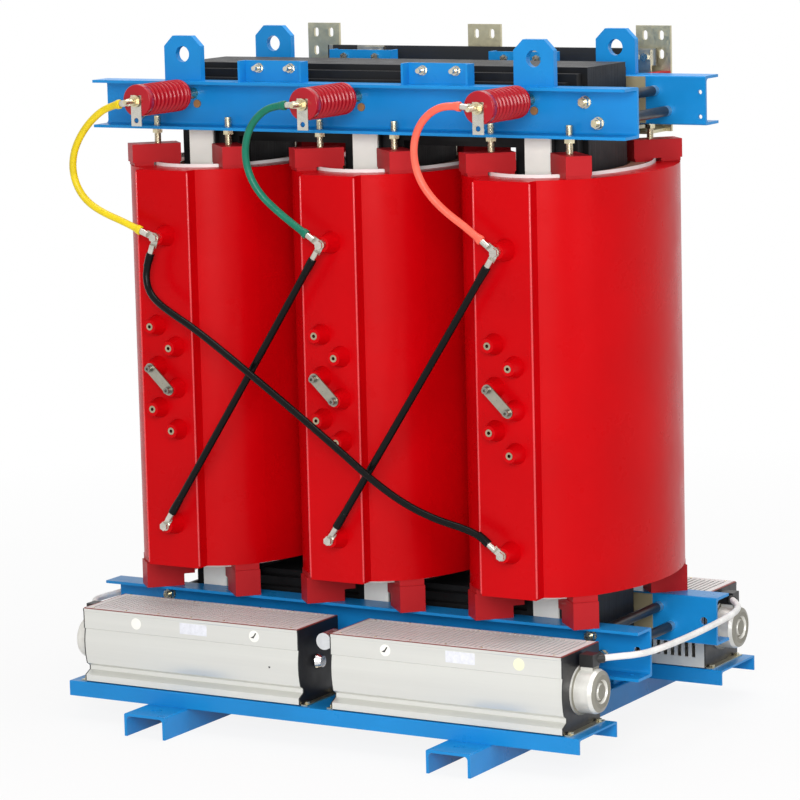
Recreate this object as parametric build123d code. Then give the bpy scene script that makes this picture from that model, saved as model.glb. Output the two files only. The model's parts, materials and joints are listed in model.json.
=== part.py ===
from build123d import *
import math
import os

# Three-phase cast-resin dry type transformer on two channel feet, with four cross-flow fans.
# Millimetres, +Z up, the high-voltage side faces -Y, the middle limb stands on X = 0, Y = 0.

# ---- fits ----
SLIP = 0.3           # radial gap between a round piece and the hole or sleeve it passes through

# ---- windings, in plan ----
COIL_HW = 234.0      # half width along the row of limbs
COIL_HD = 336.0      # half depth
COIL_END_R = 205.0   # radius of the rounded front and back
COIL_GAP = 12.0      # between two high-voltage windings
HV_T = 60.0          # radial build of the high-voltage winding
BARRIER_T = 3.7
LV_IN = 84.0         # inset of the low-voltage winding's outer face
LV_T = 38.0
PANEL_W = 148.0
PANEL_RISE = 25.0    # flat tap panel's face, in front of the round part
PANEL_Y = -COIL_HD - PANEL_RISE

# ---- core ----
PITCH = 2 * COIL_HW + COIL_GAP               # distance between limb centres
LIMBS = (-PITCH, 0.0, PITCH)
LIMB_GAP_X, LIMB_GAP_Y = 14.0, 44.0          # from the low-voltage winding's bore to the limb
STEPS = ((0.0, 70.0), (14.0, 40.0), (34.0, 15.0), (58.0, 0.0))  # each packet inside the limb's widest and thickest
LIMB_HW = COIL_HW - LV_IN - LV_T - LIMB_GAP_X
LIMB_HD = COIL_HD - LV_IN - LV_T - LIMB_GAP_Y
PACKETS = [(LIMB_HW - dx, LIMB_HD - dy) for dx, dy in STEPS]  # half width, half thickness
TIE_W = 70.0         # white limb tie plate
TIE_T = 6.0
BOARD_T = 4.0        # board between yoke and clamp
BOARD_GAP = 5.5      # from the end of a board to the nearest rod sleeve
EDGE = 3.0           # plates and boards stop this far inside the clamps' edges

# ---- heights, from the floor up ----
LOW_CLAMP_Z = 187.0
CLAMP_H = 120.0
LOW_BLOCK_H = 65.0
PAD_LOW = 16.0       # resin pads under and over the windings
COIL_LOW = LOW_CLAMP_Z + CLAMP_H + LOW_BLOCK_H + PAD_LOW
COIL_H = 1000.0
COIL_HIGH = COIL_LOW + COIL_H
PAD_HIGH = 8.0
HIGH_BLOCK_H = 46.0
JACK_GAP = 38.0      # free length of a jack screw under the upper clamp
TOP_CLAMP_Z = COIL_HIGH + PAD_HIGH + HIGH_BLOCK_H + JACK_GAP
CLAMP_TOP = TOP_CLAMP_Z + CLAMP_H
YOKE_LOW = LOW_CLAMP_Z + CLAMP_H / 2
YOKE_HIGH = TOP_CLAMP_Z + CLAMP_H / 2

# ---- taps and terminals on the panel ----
TAP_X = 27.0
TAP_STEP = 52.0
TAP_FOOT = 352.0     # lowest tap over the winding's lower end
TAP_Z = [COIL_LOW + TAP_FOOT + TAP_STEP * row for row in reversed(range(6))]
TAP_H = 35.0
TAP_R = (27.0, 17.0)
INSERT_R = 9.0
INSERT_H = 20.0
TERM_X = 8.0
TERM_DOWN, TERM_UP = 162.0, 112.0            # terminals from the winding's ends
TERM_Z = (COIL_HIGH - TERM_DOWN, COIL_LOW + TERM_UP)
TERM_H = 42.0
TERM_R = (28.0, 18.0)
LINKED_TAPS = range(2, 4)   # the bosses joined by the tap link
LINK_T = 5.0
LINK_W = 26.0

# ---- clamps ----
WEB_IN = PACKETS[-1][1] + TIE_T + BOARD_T    # inner face of a clamp web
CLAMP_T = 7.0
CLAMP_D = 72.0
CLAMP_BEND = 9.0
TOP_CLAMP_OVER, LOW_CLAMP_OVER = 274.0, 288.0    # clamps past the outer limbs
TOP_CLAMP_HALF = PITCH + TOP_CLAMP_OVER
LOW_CLAMP_HALF = PITCH + LOW_CLAMP_OVER
WEB_OUT = WEB_IN + CLAMP_T
FLANGE_Y = WEB_IN + CLAMP_D / 2 - 3.0        # middle of the flange, where lugs and jack screws stand
END_HOLE = 15.0      # small end holes from the end of the upper back clamp
CABLE_HOLE = 35.0    # round end hole from the end of a lower clamp
ROD_R = 8.0
TOP_RODS = ((PITCH + 137.0, TOP_CLAMP_Z + 83.0), (PITCH + 171.0, TOP_CLAMP_Z + 34.0))
LOW_RODS = ((PITCH + 130.0, LOW_CLAMP_Z + 87.0), (PITCH + 162.0, LOW_CLAMP_Z + 40.0))
NUT_AF = 24.0
NUT_H = 13.0
WASHER_R = 15.0
WASHER_T = 3.0
SLEEVE_R = 12.5
BOARD_HALF = LOW_RODS[0][0] - SLEEVE_R - BOARD_GAP

# ---- lifting lugs and top brackets ----
LUG_W, LUG_H, LUG_T, LUG_CHAMFER = 108.0, 112.0, 18.0, 26.0
LUG_HOLE_R, LUG_HOLE_Z = 20.0, 66.0
LUG_OUT, BRACKET_IN = 18.0, 6.0              # outwards from a limb, and inwards from midway between two
LUG_X = PITCH + LUG_OUT
BRACKET_X = PITCH / 2 - BRACKET_IN
BRACKET_W, BRACKET_H, BRACKET_D, BRACKET_T = 184.0, 52.0, 34.0, 6.0
BRACKET_BOLT_X, BRACKET_BOLT_Z = 46.0, 34.0
BRACKET_SET = 16.0   # bracket back from the edge of the clamp

# ---- feet and fan shelves ----
FOOT_X, FOOT_W, FOOT_H, FOOT_T, FOOT_HALF = 432.0, 120.0, 58.0, 7.0, 588.0
SHELF_HALF, SHELF_IN, SHELF_OUT, SHELF_LIP, SHELF_T = 728.0, 289.0, 485.0, 38.0, 5.0
SHELF_Z = FOOT_H + SHELF_LIP
FOOT_SLOT = 56.0     # fixing slot from the end of a foot
PEDESTAL_HALF = 46.0

# ---- resin blocks and jack screws ----
BLOCK_SIDE, BLOCK_W = 128.0, 64.0
BLOCK_X = COIL_HW - BLOCK_SIDE
BLOCK_OUT, BLOCK_IN = 72.0, 52.0             # reach past the jack screw, outwards and inwards
BLOCK_STEP = 28.0    # the lower blocks rest on the clamp as far as this past the screw's line
STEP_H = 30.0
JACK_TOP = TOP_CLAMP_Z + 30.0

# ---- post insulators ----
POST_X = -12.0       # offset from the limb centre
POST_Z = TOP_CLAMP_Z + 86.0
POST_R = 40.0
POST_BACK = 254.0
POST_FRONT = 440.0
POST_FINS = 9
SPACER_R = 14.0
STUD_R = 6.0
STUD_OUT = 52.0
STUD_NUT_T = 10.0
STUD_END_R = 5.5     # free threaded end beyond the nut, at the thread's mean radius

# ---- cables ----
CABLE_R = 9.0
LUG_PALM_T = 4.0
LUG_PALM_W = 24.0
LUG_REACH = 20.0     # bolt to the start of the lug's barrel
BARREL_R = 8.0
BARREL_L = 22.0
BOOT_R = 11.5
BOOT_L = 19.0
CONDUIT_R = 8.0
GLAND_R = 11.0
GLAND_REACH = 36.0   # middle of a terminal block to the mouth of its gland

# ---- low-voltage side ----
BAR_T = 8.0
BAR_HALF = 35.0      # half width of the bars where they leave the windings
NEUTRAL_GAP, LV_GAP = 40.0, 38.0             # clamp to neutral leads, neutral leads to terminal plates
NEUTRAL_Y = WEB_IN + CLAMP_D + NEUTRAL_GAP
LV_BAR_Y = NEUTRAL_Y + LV_GAP
LV_BAR_X = (12.0, 107.0)
LV_BAR_TOP = CLAMP_TOP + 112.0
LV_LEG_Z = COIL_HIGH + 62.0
LV_RISE_Y = COIL_HD - LV_IN - LV_T / 2 + 3.0
LV_SLOTS = ((-22.5, 22.5), (24.0, 71.0))     # across from the middle, down from the top
NEUTRAL_RISE_Y = COIL_HD - LV_IN - LV_T
NEUTRAL_X = (15.0, 70.0)
NEUTRAL_LEG_Z = COIL_HIGH + 76.0
ARM_END = 262.0      # end of a neutral lead's arm, from the limb
ARM_W = 28.0
TAB_W = 62.0
STAR_IN, STAR_OUT = 90.0, 80.0               # ends of the star bar from the outer limbs
STAR_X = (STAR_IN - PITCH, PITCH + STAR_OUT)
STAR_Z = (CLAMP_TOP + 15.0, CLAMP_TOP + 57.0)

# ---- fans ----
FAN_X0, FAN_X1 = 45.0, 683.0
FAN_FRONT, FAN_BACK = 478.0, 290.0
FAN_TOP = 285.0
FAN_END_T = 3.0
FAN_SKIN = 2.5
AXLE_Y, AXLE_Z = 385.0, 190.0
ROTOR_R = 54.0
SHAFT_R = 5.0
BLADES = 20
MOTOR_R, MOTOR_L = 54.0, 57.0
FAN_LIP_W = 17.0
CAN_R, CAN_Z = 21.0, 262.0   # motor capacitor


def slab(x0, x1, y0, y1, z0, z1):
    """Box between two opposite corners."""
    block = Box(x1 - x0, y1 - y0, z1 - z0)
    return Pos((x0 + x1) / 2, (y0 + y1) / 2, (z0 + z1) / 2) * block


def turned(origin, direction, profile):
    """Round shape standing on its own base, stood at origin and pointed along direction."""
    return Plane(origin=origin, z_dir=direction) * profile


def drum(radius, height):
    """Cylinder standing on Z = 0."""
    return Cylinder(radius, height, align=(Align.CENTER, Align.CENTER, Align.MIN))


def cone(foot, head, height):
    """Truncated cone standing on Z = 0."""
    return Cone(foot, head, height, align=(Align.CENTER, Align.CENTER, Align.MIN))


def hexagon(across_flats, height):
    """Hexagonal prism standing on Z = 0."""
    return extrude(RegularPolygon(across_flats / math.sqrt(3), 6), height)


def ring(outer, inner, height):
    """Washer or tube standing on Z = 0."""
    return drum(outer, height) - drum(inner, height)


def nut(across_flats, hole, height):
    """Hexagon nut standing on Z = 0."""
    return hexagon(across_flats, height) - drum(hole, height)


def channel(origin, x_dir, z_dir, depth, height, wall, bend, length):
    """Folded channel: web on the local Y axis, flanges along local X, run along z_dir."""
    points = [(0, 0), (depth, 0), (depth, wall), (wall, wall),
              (wall, height - wall), (depth, height - wall), (depth, height), (0, height)]
    face = make_face(Polyline(*points, close=True))
    inner = [v for v in face.vertices() if abs(v.X - wall) < 0.01 and wall - 0.01 < v.Y < height - wall + 0.01]
    outer = [v for v in face.vertices() if abs(v.X) < 0.01]
    face = fillet(inner, bend)
    outer = [v for v in face.vertices() if abs(v.X) < 0.01 and (v.Y < 0.01 or v.Y > height - 0.01)]
    face = fillet(outer, bend / 2)
    return Plane(origin=origin, x_dir=x_dir, z_dir=z_dir) * extrude(face, length)


def front_back(shape):
    """The shape and its mirror image on the low-voltage side."""
    return [shape, mirror(shape, Plane.XZ)]


def left_right(shape):
    """The shape and its mirror image on the other end of the core."""
    return [shape, mirror(shape, Plane.YZ)]


def four_ways(shape):
    """The shape mirrored to all four corners."""
    return [copy for half in front_back(shape) for copy in left_right(half)]


# ---------------------------------------------------------------- core
def limb(x):
    """Stepped limb: each packet runs from the lower yoke to the upper one."""
    pieces = []
    inner = 0.0
    for half_width, half_stack in PACKETS:
        low, high = YOKE_LOW + half_width, YOKE_HIGH - half_width
        for side in ((inner, half_stack), (-half_stack, -inner)) if inner else ((-half_stack, half_stack),):
            pieces.append(slab(x - half_width, x + half_width, side[0], side[1], low, high))
        inner = half_stack
    return Part() + pieces


def yoke(z):
    """Stepped yoke: the same packets laid along the row of limbs."""
    pieces = []
    for half_width, half_stack in PACKETS:
        reach = PITCH + half_width
        pieces.append(slab(-reach, reach, -half_stack, half_stack, z - half_width, z + half_width))
    return Part() + pieces


def tie_plates():
    """White plates down the front and back of every limb, behind the clamps."""
    face = PACKETS[-1][1]
    low, high = LOW_CLAMP_Z + EDGE, CLAMP_TOP - EDGE
    plates = []
    for x in LIMBS:
        plates += front_back(slab(x - TIE_W / 2, x + TIE_W / 2, -face - TIE_T, -face, low, high))
    return plates


def yoke_boards():
    """Insulating boards between the tie plates and the clamp webs, short of the rods at both ends."""
    boards = []
    for low in (LOW_CLAMP_Z, TOP_CLAMP_Z):
        boards += front_back(slab(-BOARD_HALF, BOARD_HALF, -WEB_IN, -WEB_IN + BOARD_T,
                                  low + EDGE, low + CLAMP_H - EDGE))
    return boards


# ---------------------------------------------------------------- windings
def oval(inset):
    """Plan outline of a winding drawn in evenly by inset: two end arcs and two flatter side arcs."""
    rise = COIL_HD - COIL_END_R
    side = (COIL_HW ** 2 + rise ** 2 - COIL_END_R ** 2) / (2 * (COIL_HW - COIL_END_R))
    offset = side - COIL_HW
    reach = math.hypot(offset, rise)
    radius = side - inset
    tx = radius * offset / reach - offset
    ty = radius * rise / reach
    half_w, half_d = COIL_HW - inset, COIL_HD - inset
    arcs = [ThreePointArc((tx, -ty), (half_w, 0), (tx, ty)),
            ThreePointArc((tx, ty), (0, half_d), (-tx, ty)),
            ThreePointArc((-tx, ty), (-half_w, 0), (-tx, -ty)),
            ThreePointArc((-tx, -ty), (0, -half_d), (tx, -ty))]
    return make_face(Curve() + arcs)


def sleeve(inset, thickness, low, high):
    """Oval tube about the origin."""
    return Pos(0, 0, low) * extrude(oval(inset) - oval(inset + thickness), high - low)


def tap_spots():
    """Middle of every tap boss on the panel, as (x, z)."""
    return [(TAP_X if i % 2 else -TAP_X, z) for i, z in enumerate(TAP_Z)]


def boss(x, z, radii, height):
    """Resin boss standing out of the panel with a pocket for its brass insert."""
    body = turned((x, PANEL_Y + 2.0, z), (0, -1, 0), cone(radii[0], radii[1], height + 2.0))
    return body, turned((x, PANEL_Y - height + INSERT_H, z), (0, -1, 0), drum(INSERT_R + SLIP, INSERT_H))


def hv_winding(x):
    """Cast winding with its flat tap panel, six tap bosses and two terminal bosses."""
    plan = oval(0) + Pos(0, (PANEL_Y - COIL_HD + HV_T) / 2) * Rectangle(PANEL_W, HV_T - PANEL_Y - COIL_HD)
    body = Pos(0, 0, COIL_LOW) * extrude(plan - oval(HV_T), COIL_HIGH - COIL_LOW)
    spots = [(sx, sz, TAP_R, TAP_H) for sx, sz in tap_spots()]
    spots += [(TERM_X, z, TERM_R, TERM_H) for z in TERM_Z]
    for spot in spots:
        solid, pocket = boss(*spot)
        body = body + solid - pocket
    return Pos(x, 0, 0) * body


def barriers():
    """White barrier cylinder lining each high-voltage winding."""
    tube = sleeve(HV_T + SLIP, BARRIER_T, COIL_LOW - PAD_LOW, COIL_HIGH + PAD_HIGH)
    return [Pos(x, 0, 0) * tube for x in LIMBS]


def lv_winding(x):
    """Foil winding next to the limb."""
    return Pos(x, 0, 0) * sleeve(LV_IN, LV_T, COIL_LOW, COIL_HIGH)


def insert(x, z, face, hole):
    """Threaded brass bush sunk in a boss."""
    return turned((x, face + INSERT_H, z), (0, -1, 0), ring(INSERT_R, hole, INSERT_H))


def tap_inserts():
    """Brass bushes of all the tap bosses."""
    return [insert(x + sx, sz, PANEL_Y - TAP_H, 4.0 + SLIP) for x in LIMBS for sx, sz in tap_spots()]


def terminal_inserts():
    """Brass bushes of the end terminals."""
    return [insert(x + TERM_X, z, PANEL_Y - TERM_H, STUD_R + SLIP) for x in LIMBS for z in TERM_Z]


def tap_link(x):
    """Flat strap with round ends bolted across two neighbouring taps."""
    (x0, z0), (x1, z1) = (tap_spots()[i] for i in LINKED_TAPS)
    span = math.hypot(x1 - x0, z1 - z0)
    plan = SlotCenterToCenter(span, LINK_W)
    plan -= [Pos(-span / 2, 0) * Circle(4.0 + SLIP), Pos(span / 2, 0) * Circle(4.0 + SLIP)]
    middle = (x + (x0 + x1) / 2, PANEL_Y - TAP_H, (z0 + z1) / 2)
    return Plane(origin=middle, x_dir=(x1 - x0, 0, z1 - z0), z_dir=(0, -1, 0)) * extrude(plan, LINK_T)


def link_screws():
    """Socket-head screws and washers of the tap links."""
    screws = []
    face = PANEL_Y - TAP_H - LINK_T
    for x in LIMBS:
        for sx, sz in (tap_spots()[i] for i in LINKED_TAPS):
            head = drum(8.0, 10.0) - Pos(0, 0, 4.0) * hexagon(7.0, 6.0)
            screws.append(turned((x + sx, face, sz), (0, -1, 0), ring(10.5, 4.0 + SLIP, 2.0)))
            screw = turned((x + sx, face - 2.0, sz), (0, -1, 0), head)
            screws.append(screw + turned((x + sx, face - 2.0, sz), (0, 1, 0), drum(4.0, 22.0)))
    return screws


# ---------------------------------------------------------------- clamps
def rod_holes(z0):
    """Bores for the tie rods through both webs."""
    rods = TOP_RODS if z0 == TOP_CLAMP_Z else LOW_RODS
    return [turned((side * x, WEB_OUT + 1.0, z), (0, -1, 0), drum(ROD_R + SLIP, 2 * WEB_OUT + 2.0))
            for x, z in rods for side in (-1, 1)]


def clamp(z0, half):
    """Front clamp channel, web against the core."""
    body = channel((half, -WEB_IN, z0), (0, -1, 0), (-1, 0, 0),
                   CLAMP_D, CLAMP_H, CLAMP_T, CLAMP_BEND, 2 * half)
    return body - rod_holes(z0)


def top_clamp():
    """Upper front clamp with the jack screw holes in its lower flange."""
    body = clamp(TOP_CLAMP_Z, TOP_CLAMP_HALF)
    for x in LIMBS:
        for side in (-1, 1):
            spot = (x + side * BLOCK_X, -FLANGE_Y, TOP_CLAMP_Z - 1.0)
            body -= Pos(*spot) * drum(ROD_R + SLIP, CLAMP_T + 2.0)
    return body


def top_clamp_back():
    """Upper back clamp, with two small holes near each end of the web."""
    body = mirror(top_clamp(), Plane.XZ)
    for side in (-1, 1):
        for z in (TOP_CLAMP_Z + 21.0, CLAMP_TOP - 39.0):
            spot = (side * (TOP_CLAMP_HALF - END_HOLE), WEB_OUT + 1.0, z)
            body -= turned(spot, (0, -1, 0), drum(5.5, CLAMP_T + 2.0))
    return body


def low_clamp():
    """Lower front clamp, with a round hole near each end of the web and one in the flange."""
    body = clamp(LOW_CLAMP_Z, LOW_CLAMP_HALF)
    for side in (-1, 1):
        x = side * (LOW_CLAMP_HALF - CABLE_HOLE)
        body -= turned((x, -WEB_OUT - 1.0, YOKE_LOW), (0, 1, 0), drum(10.0, CLAMP_T + 2.0))
        body -= Pos(x, -FLANGE_Y, LOW_CLAMP_Z - 1.0) * drum(5.0, CLAMP_T + 2.0)
    return body


def tie_rods(rods):
    """Threaded rods through both webs at each end."""
    reach = WEB_OUT + WASHER_T + NUT_H + 9.0
    return [turned((side * x, -reach, z), (0, 1, 0), drum(ROD_R, 2 * reach)) for x, z in rods for side in (-1, 1)]


def tie_nuts():
    """Washer and nut on each end of every tie rod."""
    pieces = []
    for x, z in TOP_RODS + LOW_RODS:
        washer = turned((x, -WEB_OUT, z), (0, -1, 0), ring(WASHER_R, ROD_R + SLIP, WASHER_T))
        seat = turned((x, -WEB_OUT - WASHER_T, z), (0, -1, 0), nut(NUT_AF, ROD_R + SLIP, NUT_H))
        pieces += four_ways(washer) + four_ways(seat)
    return pieces


def rod_sleeves():
    """Black insulating tubes over the rods, clamped between the webs."""
    return [turned((side * x, -WEB_IN, z), (0, 1, 0), ring(SLEEVE_R, ROD_R + SLIP, 2 * WEB_IN))
            for x, z in TOP_RODS + LOW_RODS for side in (-1, 1)]


def web_plugs():
    """Round plugs on the clamp webs in line with each limb."""
    plugs = []
    for x in LIMBS:
        plugs += front_back(turned((x, -WEB_OUT, YOKE_HIGH), (0, -1, 0), drum(10.0, 4.0)))
    return plugs


def jack_screws():
    """Screws standing on the upper resin blocks, each with a nut and washer under the clamp flange."""
    foot = COIL_HIGH + PAD_HIGH + HIGH_BLOCK_H
    pieces = []
    for x in LIMBS:
        for side in (-1, 1):
            spot = (x + side * BLOCK_X, -FLANGE_Y)
            pieces += front_back(Pos(*spot, foot) * drum(ROD_R, JACK_TOP - foot))
            pieces += front_back(Pos(*spot, TOP_CLAMP_Z - 2.5) * ring(WASHER_R, ROD_R + SLIP, 2.5))
            pieces += front_back(Pos(*spot, TOP_CLAMP_Z - 2.5 - 10.0) * nut(NUT_AF, ROD_R + SLIP, 10.0))
    return pieces


# ---------------------------------------------------------------- resin blocks
def radial(x, length_in, length_out, width, z0, z1):
    """Upright block lying at 45 degrees through the jack screw, front right of a limb."""
    block = slab(-length_in, length_out, -width / 2, width / 2, z0, z1)
    return Pos(x + BLOCK_X, -FLANGE_Y, 0) * Rot(0, 0, -45) * block


def around(make):
    """Front and back, left and right of every limb."""
    pieces = []
    for shape in four_ways(make):
        pieces += [Pos(x, 0, 0) * shape for x in LIMBS]
    return pieces


def top_blocks():
    """Blocks under the jack screws."""
    low = COIL_HIGH + PAD_HIGH
    return around(radial(0, BLOCK_IN, BLOCK_OUT, BLOCK_W, low, low + HIGH_BLOCK_H))


def low_blocks():
    """Blocks carrying the windings on the lower clamps, stepped at the inner end."""
    low, high = LOW_CLAMP_Z + CLAMP_H, COIL_LOW - PAD_LOW
    block = radial(0, BLOCK_IN, BLOCK_OUT, BLOCK_W, low, high)
    return around(block - radial(0, BLOCK_IN + 5.0, BLOCK_STEP - BLOCK_IN, BLOCK_W + 2.0, low - 1.0, low + STEP_H))


def pads(z0, z1):
    """Two thin pads per block, one under each winding."""
    outer = radial(0, -18.0, BLOCK_OUT - 4.0, BLOCK_W - 2.0, z0, z1)
    inner = radial(0, BLOCK_IN - 3.0, -4.0, BLOCK_W - 2.0, z0, z1)
    return around(outer) + around(inner)


# ---------------------------------------------------------------- lugs, brackets, feet
def lifting_lug(x, y):
    """Chamfered lifting plate with its shackle hole."""
    plan = Rectangle(LUG_W, LUG_H)
    plan = chamfer(plan.vertices().group_by(Axis.Y)[-1], LUG_CHAMFER)
    plan -= Pos(0, LUG_HOLE_Z - LUG_H / 2) * Circle(LUG_HOLE_R)
    middle = (x, y + LUG_T / 2, CLAMP_TOP + LUG_H / 2)
    return Plane(origin=middle, x_dir=(1, 0, 0), z_dir=(0, -1, 0)) * extrude(plan, LUG_T)


def bracket_back():
    """Depth of the back face of a front bracket."""
    return BRACKET_D - CLAMP_D - WEB_IN + BRACKET_SET


def top_bracket(x):
    """Channel bracket standing on the front clamp, open to the front."""
    base = CLAMP_TOP
    back = bracket_back()
    web = slab(x - BRACKET_W / 2, x + BRACKET_W / 2, back - BRACKET_T, back, base, base + BRACKET_H)
    cheeks = [slab(x + s * BRACKET_W / 2 - (BRACKET_T if s > 0 else 0), x + s * BRACKET_W / 2 + (BRACKET_T if s < 0 else 0),
                   back - BRACKET_D, back, base, base + BRACKET_H) for s in (-1, 1)]
    holes = [turned((x + s * BRACKET_BOLT_X, back + 1.0, base + BRACKET_BOLT_Z), (0, -1, 0),
                    drum(STUD_R + SLIP, BRACKET_T + 2.0)) for s in (-1, 1)]
    return Part() + [web] + cheeks - holes


def bracket_bolts():
    """Bolt, washer and nut in each bracket hole."""
    base = CLAMP_TOP + BRACKET_BOLT_Z
    back = bracket_back()
    pieces = []
    for middle in (-BRACKET_X, BRACKET_X):
        for s in (-1, 1):
            x = middle + s * BRACKET_BOLT_X
            bolt = turned((x, back, base), (0, 1, 0), hexagon(19.0, 8.0))
            bolt += turned((x, back, base), (0, -1, 0), drum(STUD_R, 34.0))
            washer = turned((x, back - BRACKET_T, base), (0, -1, 0), ring(12.0, STUD_R + SLIP, 2.5))
            seat = turned((x, back - BRACKET_T - 2.5, base), (0, -1, 0), nut(19.0, STUD_R + SLIP, 10.0))
            for piece in (bolt, washer, seat):
                pieces += front_back(piece)
    return pieces


def foot(x):
    """Channel foot, flanges down, with a fixing slot near each end."""
    body = channel((x - FOOT_W / 2, FOOT_HALF, FOOT_H), (0, 0, -1), (0, -1, 0),
                   FOOT_H, FOOT_W, FOOT_T, CLAMP_BEND, 2 * FOOT_HALF)
    for side in (-1, 1):
        body -= Pos(x, side * (FOOT_HALF - FOOT_SLOT), FOOT_H - FOOT_T - 1.0) * extrude(SlotOverall(30.0, 18.0), FOOT_T + 2.0)
    return body


def shelf():
    """Front fan shelf, lips down, resting across both feet, drilled for the fan screws."""
    body = channel((-SHELF_HALF, -SHELF_OUT, SHELF_Z), (0, 0, -1), (1, 0, 0),
                   SHELF_LIP, SHELF_OUT - SHELF_IN, SHELF_T, 6.0, 2 * SHELF_HALF)
    return body - [Pos(x, y, SHELF_Z - SHELF_T - 1.0) * drum(4.0 + SLIP, SHELF_T + 2.0) for x, y in fan_screw_spots()]


def pedestals():
    """Short channels that carry the lower clamps on the feet."""
    one = channel((FOOT_X - PEDESTAL_HALF, -WEB_OUT, FOOT_H), (0, -1, 0), (0, 0, 1),
                  60.0, 2 * PEDESTAL_HALF, CLAMP_T, CLAMP_BEND, LOW_CLAMP_Z - FOOT_H)
    return four_ways(one)


# ---------------------------------------------------------------- post insulators
def post(x):
    """Ribbed resin post lying along Y, threaded for a stud at its front end."""
    length = POST_FRONT - POST_BACK
    cap, heel = 20.0, 12.0
    step = (length - cap - heel) / POST_FINS
    points = [(0, 0), (POST_R - 5.0, 0), (POST_R - 2.0, 4.0), (POST_R - 2.0, heel)]
    for i in range(POST_FINS):
        base = heel + i * step
        points += [(POST_R - 7.5, base + 0.28 * step), (POST_R - 7.5, base + 0.48 * step),
                   (POST_R - 0.5, base + 0.68 * step), (POST_R - 0.5, base + step)]
    points[-1] = (POST_R - 0.5, length - cap)
    points += [(POST_R, length - cap + 0.5), (POST_R, length - 2.5), (POST_R - 2.5, length), (0, length)]
    body = revolve(make_face(Plane.XZ * Polyline(*points, close=True)), Axis.Z)
    body -= Pos(0, 0, length - 22.0) * drum(STUD_R + SLIP, 22.0)
    return turned((x + POST_X, -POST_BACK, POST_Z), (0, -1, 0), body)


def post_spacers():
    """Steel spacers that hold the posts clear of the clamp flange."""
    return [turned((x + POST_X, -WEB_OUT, POST_Z), (0, -1, 0), drum(SPACER_R, POST_BACK - WEB_OUT)) for x in LIMBS]


def post_studs():
    """Stud, washer and nut on the front of every post."""
    pieces = []
    first = -POST_FRONT - WASHER_T - LUG_PALM_T
    held = 2 * WASHER_T + LUG_PALM_T + STUD_NUT_T
    for x in LIMBS:
        spot = x + POST_X
        pieces.append(turned((spot, -POST_FRONT + 22.0, POST_Z), (0, -1, 0),
                             drum(STUD_R, 22.0 + held) + Pos(0, 0, 22.0) * drum(STUD_END_R, STUD_OUT)))
        pieces.append(turned((spot, first, POST_Z), (0, -1, 0), ring(15.0, STUD_R + SLIP, WASHER_T)))
        pieces.append(turned((spot, first - WASHER_T, POST_Z), (0, -1, 0), nut(19.0, STUD_R + SLIP, STUD_NUT_T)))
    return pieces


def post_tag(x):
    """Drilled connection strip hanging from a post's stud."""
    plan = Pos(0, -24.0) * Rectangle(30.0, 76.0)
    plan = plan - Circle(STUD_R + SLIP) - Pos(0, -48.0) * Circle(6.5)
    spot = (x + POST_X, -POST_FRONT, POST_Z)
    return Plane(origin=spot, x_dir=(1, 0, 0), z_dir=(0, -1, 0)) * extrude(plan, WASHER_T)


# ---------------------------------------------------------------- low-voltage side
def bar_foot(x, rise_y, front_y, reach, leg_z):
    """Bar standing on the low-voltage winding, then cranked back under the clamp."""
    riser = slab(x - BAR_HALF, x + BAR_HALF, rise_y, rise_y + BAR_T, COIL_HIGH, leg_z + BAR_T)
    leg = slab(x - BAR_HALF, x + reach, rise_y, front_y + BAR_T, leg_z, leg_z + BAR_T)
    return [riser, leg]


def lv_bar(x):
    """Cranked terminal bar: up from the winding, out under the clamp, up to four slotted holes."""
    plate = slab(x + LV_BAR_X[0], x + LV_BAR_X[1], LV_BAR_Y, LV_BAR_Y + BAR_T, LV_LEG_Z, LV_BAR_TOP)
    body = Part() + bar_foot(x, LV_RISE_Y, LV_BAR_Y, LV_BAR_X[1] - 15.0, LV_LEG_Z) + plate
    middle = x + sum(LV_BAR_X) / 2
    for across in LV_SLOTS[0]:
        for down in LV_SLOTS[1]:
            spot = (middle + across, LV_BAR_Y + BAR_T + 1.0, LV_BAR_TOP - down)
            slot = Plane(origin=spot, x_dir=(0, 0, 1), z_dir=(0, -1, 0))
            body -= slot * extrude(SlotOverall(24.0, 14.0), BAR_T + 2.0)
    return body


def star_lead(x):
    """Cranked bar up to the star bar; the first two run along it on an arm before they are bolted to it."""
    body = Part() + bar_foot(x, NEUTRAL_RISE_Y, NEUTRAL_Y, NEUTRAL_X[1], NEUTRAL_LEG_Z)
    left, right = x + NEUTRAL_X[0], x + NEUTRAL_X[1]
    if x == LIMBS[-1]:
        return body + slab(left, right, NEUTRAL_Y, NEUTRAL_Y + BAR_T, NEUTRAL_LEG_Z, STAR_Z[1] - EDGE) - star_holes()
    arm_top = STAR_Z[0] + EDGE
    body += slab(left, right, NEUTRAL_Y, NEUTRAL_Y + BAR_T, NEUTRAL_LEG_Z, arm_top)
    body += slab(left, x + ARM_END, NEUTRAL_Y, NEUTRAL_Y + BAR_T, arm_top - ARM_W, arm_top)
    tab = slab(x + ARM_END - TAB_W, x + ARM_END, NEUTRAL_Y, NEUTRAL_Y + BAR_T, arm_top - ARM_W, STAR_Z[1] - EDGE)
    return body + tab - star_holes()


def star_spots():
    """The two bolts that join each lead to the star bar, as (x, z)."""
    ends = [LIMBS[0] + ARM_END, LIMBS[1] + ARM_END, LIMBS[2] + NEUTRAL_X[1]]
    return [(end - inset, sum(STAR_Z) / 2) for end in ends for inset in (14.0, 42.0)]


def star_holes():
    """Bores through leads and star bar."""
    return [turned((x, NEUTRAL_Y - 1.0, z), (0, 1, 0), drum(STUD_R + SLIP, 2 * BAR_T + 2.0)) for x, z in star_spots()]


def star_bar():
    """Bar joining the three low-voltage windings."""
    return slab(*STAR_X, NEUTRAL_Y + BAR_T, NEUTRAL_Y + 2 * BAR_T, *STAR_Z) - star_holes()


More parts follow.
